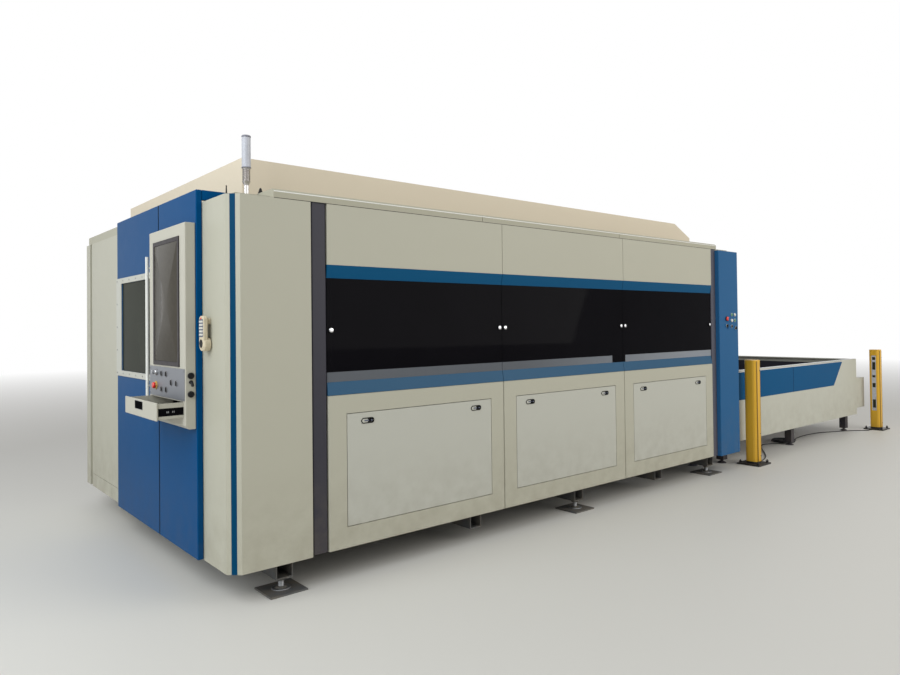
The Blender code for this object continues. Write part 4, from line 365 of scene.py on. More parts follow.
def put(name, shapes, coat, body="machine", stands_for=(), sharp=35):
    """One piece from several skins, with its finish, on its body, in place of the solids it stands for."""
    starts = np.cumsum([0] + [len(points) for points, _ in shapes])
    faces = []
    for start, (_, groups) in zip(starts, shapes):
        for group in groups:
            faces += (group + start).tolist()
    mesh = bpy.data.meshes.new(name)
    mesh.from_pydata(np.vstack([points for points, _ in shapes]).tolist(), [], faces)
    mesh.shade_smooth()
    mesh.set_sharp_from_angle(angle=math.radians(sharp))
    mesh.materials.append(FINISH[coat])
    piece = bpy.data.objects.new(name, mesh)
    bpy.context.scene.collection.objects.link(piece)
    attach(piece, body)
    if stands_for:
        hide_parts(*stands_for)
    return piece


# Shader groups and materials

class Shading:
    """A node tree with short calls for its nodes and links."""

    def __init__(self, tree):
        self.tree = tree

    def node(self, kind, _set=None, **inputs):
        made = self.tree.nodes.new("ShaderNode" + kind)
        for name, value in (_set or {}).items():
            setattr(made, name, value)
        for name, value in inputs.items():
            self.feed(made.inputs[name.replace("_", " ")], value)
        return made

    def feed(self, socket, value):
        if isinstance(value, bpy.types.NodeSocket):
            self.tree.links.new(value, socket)
        else:
            socket.default_value = value

    def place(self):
        """The place in the object's own coordinates."""
        return self.node("TexCoord").outputs["Object"]

    def axis(self, letter):
        """One of the object's own coordinates."""
        return self.node("SeparateXYZ", Vector=self.place()).outputs[letter]

    def maths(self, operation, *values):
        made = self.node("Math", {"operation": operation})
        for socket, value in zip(made.inputs, values):
            self.feed(socket, value)
        return made.outputs[0]

    def product(self, *values):
        made = values[0]
        for value in values[1:]:
            made = self.maths("MULTIPLY", made, value)
        return made

    def swing(self, base, value, width):
        """The base, moved by the width's share of how far the value is from one half."""
        return self.maths("ADD", base, self.product(self.maths("SUBTRACT", value, 0.5), width))

    def ramp(self, value, low, high, start=0.0, end=1.0):
        """The value carried from one range to another, held at the ends."""
        made = self.node("MapRange", Value=value)
        for name, number in (("From Min", low), ("From Max", high), ("To Min", start), ("To Max", end)):
            self.feed(made.inputs[name], number)
        return made.outputs[0]

    def away(self, value, middle, inner, outer):
        """Nought within the inner distance of the middle, and one beyond the outer."""
        return self.ramp(self.maths("ABSOLUTE", self.maths("SUBTRACT", value, middle)), inner, outer)

    def blend(self, share, first, second):
        made = self.node("Mix", {"data_type": "RGBA", "blend_type": "MIX"})
        self.feed(made.inputs[0], share)
        for index, value in ((6, first), (7, second)):
            given = value if isinstance(value, bpy.types.NodeSocket) else (*value[:3], 1)
            self.feed(made.inputs[index], given)
        return made.outputs[2]

    def noise(self, place, scale, detail=2.0, rough=0.5):
        return self.node("TexNoise", Vector=place, Scale=scale, Detail=detail, Roughness=rough).outputs["Fac"]

    def toned(self, colour, value):
        """The colour, made lighter or darker by the value."""
        return self.node("HueSaturation", Value=value, Color=colour).outputs[0]

    def seen(self):
        """One where the camera, a gloss or a pane looks."""
        path = self.node("LightPath").outputs
        through = self.maths("MAXIMUM", path["Is Glossy Ray"], path["Is Transmission Ray"])
        return self.maths("MAXIMUM", path["Is Camera Ray"], through)

    def over(self, share, first, second):
        """Two shaders mixed."""
        mixed = self.node("MixShader", Fac=share)
        self.feed(mixed.inputs[1], first.outputs[0])
        self.feed(mixed.inputs[2], second.outputs[0])
        return mixed.outputs[0]


def shared_group(name, inputs):
    """A new shader group with its named inputs and the outputs of a look."""
    tree = bpy.data.node_groups.new(name, "ShaderNodeTree")
    looks = (("Color", "Color", None), ("Roughness", "Float", None), ("Normal", "Vector", None))
    for direction, sockets in (("INPUT", inputs), ("OUTPUT", looks)):
        for label, kind, default in sockets:
            socket = tree.interface.new_socket(
                name=label, in_out=direction, socket_type="NodeSocket" + kind
            )
            if default is not None:
                socket.default_value = default
    given, made = tree.nodes.new("NodeGroupInput").outputs, tree.nodes.new("NodeGroupOutput").inputs
    return Shading(tree), given, made


def finish_group(shading, made, tone, rough, grain, strength, distance, radius):
    """Feed the outputs of a look: its colour, its roughness, and eased edges under a fine grain."""
    eased = shading.node("Bevel", {"samples": 4}, Radius=radius).outputs[0]
    bump = shading.node("Bump", Strength=strength, Distance=distance, Height=grain, Normal=eased)
    for label, value in (("Color", tone), ("Roughness", rough), ("Normal", bump.outputs[0])):
        shading.feed(made[label], value)


def sheet_coat_group():
    """Powder coat: slow drift of the colour, orange-peel skin, eased edges, and dust towards the floor."""
    shading, given, made = shared_group("Sheet coat", (
        ("Color", "Color", (0.5, 0.5, 0.5, 1)), ("Drift", "Float", 0.05), ("Roughness", "Float", 0.4),
        ("Peel", "Float", 0.12), ("Dust", "Float", 0.25), ("Edge", "Float", 0.0018),
    ))
    place = shading.place()
    handled = shading.noise(place, 9.0, 4.0, 0.6)
    drifted = shading.swing(1.0, shading.noise(place, 0.7, 3.0, 0.55), given["Drift"])
    near_floor = shading.ramp(shading.axis("Z"), 0.05, 0.75, 1.0, 0.0)
    dust = shading.product(near_floor, shading.ramp(handled, 0.35, 0.75), given["Dust"])
    tone = shading.blend(dust, shading.toned(given["Color"], drifted), linear(120, 108, 88))
    rough = shading.swing(given["Roughness"], handled, 0.10)
    rough = shading.maths("ADD", rough, shading.product(dust, 0.3))
    peel = shading.noise(place, 330.0, 1.0)
    finish_group(shading, made, tone, rough, peel, given["Peel"], 0.0004, given["Edge"])


def mould_grain_group():
    """Moulded plastic: fine spark grain, faint cloudiness and eased edges."""
    shading, given, made = shared_group("Mould grain", (
        ("Color", "Color", (0.03, 0.03, 0.03, 1)), ("Roughness", "Float", 0.45),
        ("Grain", "Float", 0.3), ("Edge", "Float", 0.0008),
    ))
    place = shading.place()
    cloud = shading.noise(place, 40.0, 3.0)
    tone = shading.toned(given["Color"], shading.maths("ADD", 0.85, shading.product(cloud, 0.3)))
    rough = shading.maths("ADD", given["Roughness"], shading.ramp(cloud, 0.3, 0.7, -0.06, 0.06))
    grain = shading.noise(place, 1400.0, 1.0)
    finish_group(shading, made, tone, rough, grain, given["Grain"], 0.0002, given["Edge"])


def drawn_metal_group():
    """Ground or brushed metal: long thin scratches along one axis, with cloudy brightness."""
    shading, given, made = shared_group("Drawn metal", (
        ("Color", "Color", (0.6, 0.6, 0.6, 1)), ("Roughness", "Float", 0.3), ("Scratch", "Float", 0.35),
        ("Stretch", "Vector", (4.0, 300.0, 300.0)), ("Soil", "Float", 0.0),
    ))
    place = shading.place()
    drawn = shading.node("VectorMath", {"operation": "MULTIPLY"})
    shading.feed(drawn.inputs[0], place)
    shading.feed(drawn.inputs[1], given["Stretch"])
    lines = shading.noise(drawn.outputs[0], 1.0, 3.0, 0.6)
    cloud = shading.noise(place, 5.0, 4.0, 0.65)
    toned = shading.toned(given["Color"], shading.maths("ADD", 0.86, shading.product(lines, 0.28)))
    soil = shading.product(shading.ramp(cloud, 0.42, 0.68), given["Soil"])
    tone = shading.blend(soil, toned, linear(92, 66, 44))
    rough = shading.swing(given["Roughness"], lines, 0.25)
    rough = shading.maths("ADD", rough, shading.product(soil, 0.35))
    finish_group(shading, made, tone, rough, lines, given["Scratch"], 0.0002, 0.001)


def finish(name, group=None, metallic=0.0, coat=0.0, gloss=0.5, **values):
    """A material with a Principled shader, fed by one of the shared groups with its named values."""
    made = bpy.data.materials.new(name)
    made.use_nodes = True
    shading = Shading(made.node_tree)
    shader = made.node_tree.nodes["Principled BSDF"]
    shader.inputs["Metallic"].default_value = metallic
    shader.inputs["Coat Weight"].default_value = coat
    shader.inputs["Specular IOR Level"].default_value = gloss
    shader.inputs["Coat Roughness"].default_value = 0.15
    if group:
        look = shading.node("Group", {"name": "Look", "node_tree": bpy.data.node_groups[group]})
        for label, value in values.items():
            look.inputs[label].default_value = (*value[:3], 1) if label == "Color" else value
        for ours, theirs in (("Color", "Base Color"), ("Roughness", "Roughness"), ("Normal", "Normal")):
            shading.feed(shader.inputs[theirs], look.outputs[ours])
    return made, shading, shader


def two_toned(name, first, second, edge, soft=0.0004, axis="Z", both_ways=False, **values):
    """A coat in its second colour beyond the edge on one axis, or away from the edge both ways."""
    made, shading, _ = finish(name, "Sheet coat", **values)
    place = shading.axis(axis)
    if both_ways:
        share = shading.away(place, edge, soft * 0.8, soft)
    else:
        share = shading.ramp(place, edge - soft, edge + soft)
    shading.feed(made.node_tree.nodes["Look"].inputs["Color"], shading.blend(share, first, second))
    return made


def pane_finish(name, tint, share, gloss, ledge=None, ledge_top=0.0):
    """Tinted safety pane: a dark body that lets a share of the light through under a clear gloss.

    Where a ledge shows behind it, the pane takes the ledge's light tone, except behind the chain; towards the
    exit that tone is made lighter still, which is painted light.
    """
    made, shading, shader = finish(name, gloss=gloss)
    smear = shading.noise(shading.place(), 3.0, 4.0, 0.6)
    tone = shading.blend(shading.ramp(smear, 0.3, 0.7), tint, tuple(value * 1.25 for value in tint))
    if ledge:
        x = shading.axis("X")
        # Painted light: the ledge's tone grows up to 2.1 times lighter towards the exit
        painted_light_towards_exit = shading.ramp(x, *(CORNER.x + place for place in LEDGE_PAINTED_LIGHT))
        lit = shading.blend(painted_light_towards_exit, ledge, tuple(value * 2.1 for value in ledge))
        past_chain = shading.away(x, CORNER.x + CHAIN_AT, 0.085, 0.092)
        above = shading.ramp(shading.axis("Z"), ledge_top - 0.001, ledge_top + 0.001)
        tone = shading.blend(above, shading.blend(past_chain, tint, lit), tone)
    shading.feed(shader.inputs["Base Color"], tone)
    shader.inputs["Transmission Weight"].default_value = share
    shader.inputs["IOR"].default_value = PANE_INDEX
    shading.feed(shader.inputs["Roughness"], shading.ramp(smear, 0.3, 0.8, 0.02, 0.07))
    return made


BLACKENED = (34, 33, 34)
# Material's name, display colour or setting, gloss, drift, roughness, dust and peel
COATS = {
    "cream": ("Cream coat", "cream", 0.3, 0.05, 0.42, 0.35, 0.12),
    "inset": ("Panel white coat", "inset", 0.3, 0.05, 0.40, 0.35, 0.12),
    # Partly painted light: the hood's warmer cream is set lighter for the light from above
    "roof": ("Roof cream coat", "roof", 0.5, 0.06, 0.55, 0.0, 0.12),
    "blue": ("Blue coat", "blue", 0.02, 0.16, 0.30, 0.15, 0.12),
    # Painted light: a lighter copy of the end's blue for the exit column, which stands in more light
    "column_painted_light_blue": ("Column painted-light blue coat", (40, 92, 137), 0.06, 0.14, 0.30, 0.2, 0.12),
    # Painted light: a lighter copy of the bands' blue for the light the lower band catches from above
    "low_band_painted_light": ("Lower band painted-light coat", (50, 88, 118), 0.08, 0.10, 0.30, 0.0, 0.12),
    # Painted shade: a darker copy of the house's cream for the cornice
    "cornice": ("Cornice painted-shade coat", (171, 168, 150), 0.2, 0.05, 0.45, 0.0, 0.12),
    # Painted light: a lighter, more neutral copy of the cream for the table skirt, where the light is stronger
    "table_painted_light_cream": ("Table painted-light cream coat", (188, 188, 176), 0.3, 0.05, 0.42, 0.3, 0.12),
    "strip": ("Strip coat", (82, 82, 92), 0.25, 0.10, 0.42, 0.2, 0.12),
    "console": ("Console coat", (186, 183, 170), 0.10, 0.04, 0.42, 0.0, 0.12),
    "handle": ("Handle coat", (228, 228, 222), 0.4, 0.04, 0.35, 0.0, 0.12),
    "upper_band": ("Upper band coat", (14, 80, 120), 0.06, 0.10, 0.30, 0.0, 0.12),
    "band": ("Stripe coat", "band", 0.04, 0.10, 0.30, 0.0, 0.12),
    "charcoal": ("Charcoal coat", "charcoal", 0.25, 0.10, 0.42, 0.3, 0.12),
    # Partly painted shade: grey enamel set darker for the shade under the machine
    "frame": ("Frame enamel", "frame_grey", 0.5, 0.16, 0.55, 0.6, 0.3),
}
# Material's name, display colour or setting, gloss, roughness, grain and clear coat
MOULDINGS = {
    "black": ("Moulded black", "black", 0.2, 0.42, 0.3, 0.0),
    "steel_black": ("Blackened steel", BLACKENED, 0.3, 0.4, 0.3, 0.0),
    "chain": ("Chain plastic", (38, 38, 41), 0.5, 0.55, 0.3, 0.0),
    "red": ("Stop red", "red", 0.5, 0.3, 0.1, 0.3),
    "green": ("Start green", (28, 120, 62), 0.5, 0.3, 0.1, 0.3),
    "white": ("Button white", (214, 212, 202), 0.5, 0.4, 0.1, 0.0),
    "ivory": ("Pendant ivory", (206, 194, 168), 0.3, 0.5, 0.3, 0.0),
    "collar": ("Collar yellow", (206, 168, 60), 0.5, 0.4, 0.3, 0.0),
    # Painted shade: a flat, glossless dark for the drawer pull's cup and the latch recesses; the drawer's
    # slides are really black
    "void": ("Shaded recess", (16, 16, 18), 0.0, 0.6, 0.3, 0.0),
    "pad": ("Key pad", (104, 108, 122), 0.1, 0.5, 0.2, 0.0),
    # Painted shade: the dark yellow of the strips that stand for the posts' grooves
    "groove_shade": ("Groove shade yellow", (128, 98, 28), 0.2, 0.5, 0.3, 0.0),
    "lens": ("Lamp lens", (184, 186, 194), 0.3, 0.25, 0.1, 0.2),
    "lens_core": ("Lamp core", (132, 132, 142), 0.2, 0.5, 0.3, 0.0),
    "keys": ("Key caps", (118, 122, 134), 0.5, 0.45, 0.2, 0.0),
    "sheath": ("Cable sheath", (30, 30, 32), 0.5, 0.6, 0.5, 0.0),
    # Partly painted reflection: a dark screen in a grey-brown that stands for the hall mirrored in it, its
    # gloss nearly off
    "display": ("Display", (74, 70, 63), 0.03, 0.2, 0.02, 0.0),
    "rim": ("Display rim", (56, 52, 54), 0.06, 0.35, 0.1, 0.0),
}
# Material's name, display colour, metallic share, gloss, roughness, scratch, soil and stretch
METALS = {
    "brushed": ("Brushed plate", (134, 137, 143), 0.6, 0.3, 0.42, 0.35, 0.0, (300.0, 3.0, 300.0)),
    "chrome": ("Polished steel", (214, 214, 216), 1.0, 0.5, 0.16, 0.05, 0.0, (60.0, 60.0, 60.0)),
    "stem": ("Folded stem", (198, 194, 192), 0.9, 0.5, 0.2, 0.1, 0.0, (60.0, 60.0, 60.0)),
    "ground": ("Ground steel", (182, 184, 186), 1.0, 0.5, 0.26, 0.35, 0.0, (3.0, 260.0, 260.0)),
    "bright": ("Bright strip", (206, 208, 210), 0.5, 0.5, 0.35, 0.35, 0.0, (3.0, 260.0, 260.0)),
    "zinc": ("Zinc steel", (150, 152, 154), 0.9, 0.5, 0.42, 0.2, 0.4, (80.0, 80.0, 80.0)),
    "pallet": ("Pallet frame steel", (84, 82, 80), 0.3, 0.5, 0.55, 0.3, 0.5, (30.0, 30.0, 30.0)),
    "slats": ("Slat steel", (118, 106, 98), 0.7, 0.5, 0.5, 0.4, 0.75, (120.0, 4.0, 120.0)),
}


def all_finishes(paint):
    """Every material of the machine, by the name that the operators use."""
    made = {}

    def add(key, name, given, group, **values):
        shown = getattr(paint, given) if isinstance(given, str) else linear(*given)
        made[key] = finish(name, group, Color=shown, **values)[0]

    for key, (name, given, gloss, drift, rough, dust, peel) in COATS.items():
        add(key, name, given, "Sheet coat", gloss=gloss, Drift=drift, Roughness=rough, Dust=dust, Peel=peel)
    for key, (name, given, gloss, rough, grain, clear) in MOULDINGS.items():
        add(key, name, given, "Mould grain", gloss=gloss, Roughness=rough, Grain=grain, coat=clear)
    for key, (name, given, metallic, gloss, rough, scratch, soil, stretch) in METALS.items():
        add(key, name, given, "Drawn metal", metallic=metallic, gloss=gloss, Roughness=rough,
            Scratch=scratch, Soil=soil, Stretch=stretch)
    seam = (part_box("end_panel")[1].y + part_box("door_leaf")[0].y) / 2
    blue = dict(both_ways=True, gloss=0.02, Drift=0.16, Roughness=0.30, Dust=0.15)
    made["end_blue"] = two_toned("End blue coat", linear(2, 22, 44), paint.blue, seam, 0.010, "Y", **blue)
    made["inlay_blue"] = two_toned(
        "Inlay blue coat", linear(2, 34, 66), linear(22, 82, 126), CORNER.x + INLAY_SEAM, 0.005, "X", **blue
    )
    made["yellow"] = two_toned(
        "Guard yellow coat", linear(*BLACKENED), paint.yellow, POST_PLATE_TOP,
        gloss=0.3, Drift=0.10, Roughness=0.38, Dust=0.15
    )
    ledge_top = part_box("window_1")[0].z + LEDGE_HIGH
    made["pane"] = pane_finish("Window pane", paint.glass, 0.25, 0.04, paint.ledge, ledge_top)
    made["door_pane"] = pane_finish("Door pane", linear(54, 57, 48), 0.25, 0.02)
    return made


# Finish of each solid that shows
SHEETS = {
    "cream": "side_bay_1 side_bay_2 side_bay_3 upper_panel corner_cover end_wall rear_cabinet",
    "inset": "service_panel_1 service_panel_2 service_panel_3 door_window_frame",
    "console": "console_housing keyboard_drawer",
    "handle": "door_handle",
    "cornice": "roof_deck",
    "table_painted_light_cream": "table_skirt",
    "roof": "roof_hood",
    "column_painted_light_blue": "portal_column",
    "strip": "portal_frame",
    "low_band_painted_light": "band_lower",
    "inlay_blue": "table_inlay",
    "end_blue": "end_panel door_leaf",
    "band": "corner_stripe",
    "upper_band": "band_upper",
    "charcoal": "pillar table_frame exit_door",
    "frame": "bed_frame house_frame gantry_beam carriage",
    "yellow": "light_post_near light_post_far",
    "chain": "drag_chain",
    "ground": "guide_rail_front guide_rail_rear z_slide cutting_head",
    "brushed": "console_plate",
    "slats": "upper_pallet lower_pallet",
    "pane": "window_1 window_2 window_3",
    "door_pane": "door_glass",
    "rim": "console_screen",
    "ivory": "pendant",
    "lens": "stack_light",
}
# Material slot of each finish on the new pieces
FINISH = {}


class LASERMACHINE_OT_paint(bpy.types.Operator):
    """Give every sheet, pane, casting and moulding of the machine its finish"""

    bl_idname = "laser_machine.paint"
    bl_label = "Paint the Machine"

    def execute(self, context):
        for build in (sheet_coat_group, mould_grain_group, drawn_metal_group):
            build()
        FINISH.update(all_finishes(settings("paint")))
        for name, nodes in SHEETS.items():
            for node in nodes.split():
                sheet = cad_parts[node]
                sheet.data.materials.clear()
                sheet.data.materials.append(FINISH[name])
        return {"FINISHED"}


# Guard cable

FAR_ROUTE = (
    (8.76, 0.02), (8.70, 0.03), (8.62, 0.09), (8.53, 0.17), (8.28, 0.30), (8.03, 0.40), (7.78, 0.43),
    (7.50, 0.42), (7.31, 0.38),
)
NEAR_ROUTE = (
    (6.90, 0.38), (6.78, 0.45), (6.64, 0.47), (6.42, 0.36), (6.20, 0.22), (6.00, 0.10), (5.82, 0.03),
    (5.75, 0.02),
)
OFF_COIL = (7.21, 0.325)
ON_TO_COIL = (6.99, 0.328)
GLAND_Y = 0.02


def eased(share):
    """A smooth step: three times the square less twice the cube."""
    return share ** 2 * (3 - 2 * share)


def smooth_route(points, steps):
    """Places along a Catmull-Rom curve: each leg is a cubic set by its two ends and their neighbours."""
    points = np.asarray(points, float)
    padded = np.vstack((points[:1], points, points[-1:]))
    place = np.linspace(0, len(points) - 1, steps)
    leg = np.minimum(place.astype(int), len(points) - 2)
    t = (place - leg)[:, None]
    a, b, c, d = (padded[leg + k] for k in range(4))
    return b + ((c - a) * t + (2 * a - 5 * b + 4 * c - d) * t ** 2 + (3 * b - a - 3 * c + d) * t ** 3) / 2


def packed(turns, diameter):
    """How far in from the outer turn and up from the floor the coil lies: four side by side, six on top.

    Each turn keeps its place in the stack and moves to the next one, by a smooth step, over its last quarter.
    """
    rows = (
        (0, 0), (1, 0), (2, 0), (3, 0), (2.5, 0.87), (1.5, 0.87), (0.5, 0.87),
        (1, 1.74), (2, 1.74), (1.5, 2.61), (1.5, 2.61),
    )
    stack = np.array(rows) * diameter
    whole = np.minimum(turns.astype(int), len(stack) - 2)
    late = np.clip((turns - whole - 0.75) * 4, 0, 1)[:, None]
    placed = stack[whole] + (stack[whole + 1] - stack[whole]) * eased(late)
    return placed[:, 0], placed[:, 1]


class LASERMACHINE_OT_guard_cable(bpy.types.Operator):
    """Lay the light guards' cable on the floor, with its neat coil under the table"""

    bl_idname = "laser_machine.guard_cable"
    bl_label = "Lay the Guard Cable"

    def execute(self, context):
        size = settings("cable")
        radius = size.diameter / 2
        near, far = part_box("guard_cable_near")[0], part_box("guard_cable_far")[1]
        middle = middle_of("guard_cable_coil")
        centre = np.array((middle.x - CORNER.x, middle.y - CORNER.y))
        floor = near.z + radius
        outer = size.coil - radius * 1.1
        enter, leave = math.radians(-112), math.radians(-64)
        turn = np.linspace(enter, leave + 2 * math.pi * (size.turns - 1), 24 * size.turns)
        inward, upward = packed((turn - enter) / (2 * math.pi), size.diameter)
        flat = centre + (outer - inward)[:, None] * np.stack((np.cos(turn), np.sin(turn)), 1)
        loop = np.column_stack((flat, floor + upward))
        start, end = (near.x - CORNER.x, GLAND_Y), (far.x - CORNER.x, GLAND_Y)
        lead_in = smooth_route((start, *NEAR_ROUTE[::-1], ON_TO_COIL, flat[0]), 40)
        lead_out = smooth_route((flat[-1], OFF_COIL, *FAR_ROUTE[::-1], end), 92)
        flat_in = np.column_stack((lead_in, np.full(len(lead_in), floor)))
        clear = np.linalg.norm(lead_out - centre, axis=1) - outer
        fall = eased(np.clip((3.2 - clear / size.diameter) / 3.0, 0, 1))
        flat_out = np.column_stack((lead_out, floor + upward[-1] * fall))
        route = np.vstack((flat_in[:-1], loop, flat_out[1:])) + CORNER
        nodes = ("guard_cable_near", "guard_cable_far", "guard_cable_coil")
        cable = put("guard_cable", [along(route, radius, 12)], "sheath", stands_for=nodes)
        return {"FINISHED"}


# Roof fittings

class LASERMACHINE_OT_roof_fittings(bpy.types.Operator):
    """Stand the signal lamp, aerial, gland and bracket on the roof's near corner"""

    bl_idname = "laser_machine.roof_fittings"
    bl_label = "Fit the Roof"

    def execute(self, context):
        self.signal_lamp()
        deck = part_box("stack_light")[0].z
        aerial = mm(4, 0, 4, 12, 6.5, 14, 7.5, 78, 9.5, 80)
        gland = mm(0, 0, 0, 10, 2, 12, 2, 22, 6, 30, 9, 34)
        wide, tall = 0.058, 0.074
        wedge = np.array(((0, 0), (wide, 0), (wide * 0.56, tall), (wide * 0.44, tall)))
        corner = spot(*BRACKET_AT, deck + 0.0005)
        sides = [corner + np.stack((wedge[:, 0], np.full(4, side), wedge[:, 1]), 1) for side in (0.008, 0)]
        put("roof_fittings", [
            raised(disc(0.011, 16), aerial, spot(*AERIAL_AT, deck)),
            raised(disc(0.014, 6), gland, spot(*ROOF_GLAND_AT, deck)),
            skin(sides),
        ], "black")
        self.cornice_trim(deck - 0.012)
        low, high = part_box("end_panel")
        x = (CORNER.x + 0.0003, CORNER.x + RETURN_LONG)
        cap = block(x, (low.y + 0.0005, low.y + RETURN_WIDE), (deck + 0.0003, high.z - 0.0005))
        put("end_panel_return", [cap], "blue")
        return {"FINISHED"}

    def cornice_trim(self, under):
        """A near-white strip along the cornice's upper edge, which is a painted highlight, and a dark line
        under the cornice.
        """
        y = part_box("upper_panel")[0].y
        start, end = (CORNER.x + place for place in CORNICE_X)
        # Painted highlight: a near-white strip along the cornice's top edge
        highlight_strip = block((start, end), (y - 0.0008, y + 0.003), (under + 0.0325, under + 0.0382), 0.0004)
        dark_line = block((start + 0.002, end), (y - 0.0007, y + 0.001), (under - 0.0030, under - 0.0002), 0.0002)
        put("cornice_painted_highlight", [highlight_strip], "handle")
        put("cornice_dark_line", [dark_line], "steel_black")

    def signal_lamp(self):
        """The signal lamp, turned about its middle: a folded stem, two rims and a ribbed clear tube."""
        low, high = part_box("stack_light")
        centre = ((low.x + high.x) / 2, (low.y + high.y) / 2, low.z)
        radius = (high.x - low.x) / 2

        def turned(*shares):
            """A turned part, from its insets and heights as shares of the lamp's radius and height."""
            profile = np.reshape(shares, (-1, 2)) * (radius, high.z - low.z)
            return raised(disc(radius, 32), profile.tolist(), centre)

        def wavy(even, odd, heights):
            """Insets that change from height to height."""
            insets = np.where(np.arange(len(heights)) % 2, odd, even)
            return np.stack((insets, heights), 1).ravel()

        stem = turned(
            0, 0, 0, 0.02, 0.12, 0.03, 0.46, 0.05, *wavy(0.46, 0.54, 0.07 + 0.025 * np.arange(7)),
            *wavy(0.14, 0.34, np.linspace(0.27, 0.46, 15)), 0.2, 0.47, 0.12, 0.478, 0.12, 0.48
        )
        put("stack_light_stem", [stem], "stem", stands_for=("stack_light",))
        collar = turned(0.05, 0.479, 0, 0.481, 0, 0.492, 0.08, 0.495)
        cap = turned(0.10, 0.965, 0.04, 0.97, 0.04, 0.985, 0.14, 0.995, 0.34, 1)
        put("stack_light_rims", [collar, cap], "lens_core")
        put("stack_light_lens", [turned(*wavy(0.07, 0.10, np.linspace(0.496, 0.964, 40)))], "lens")


# Console

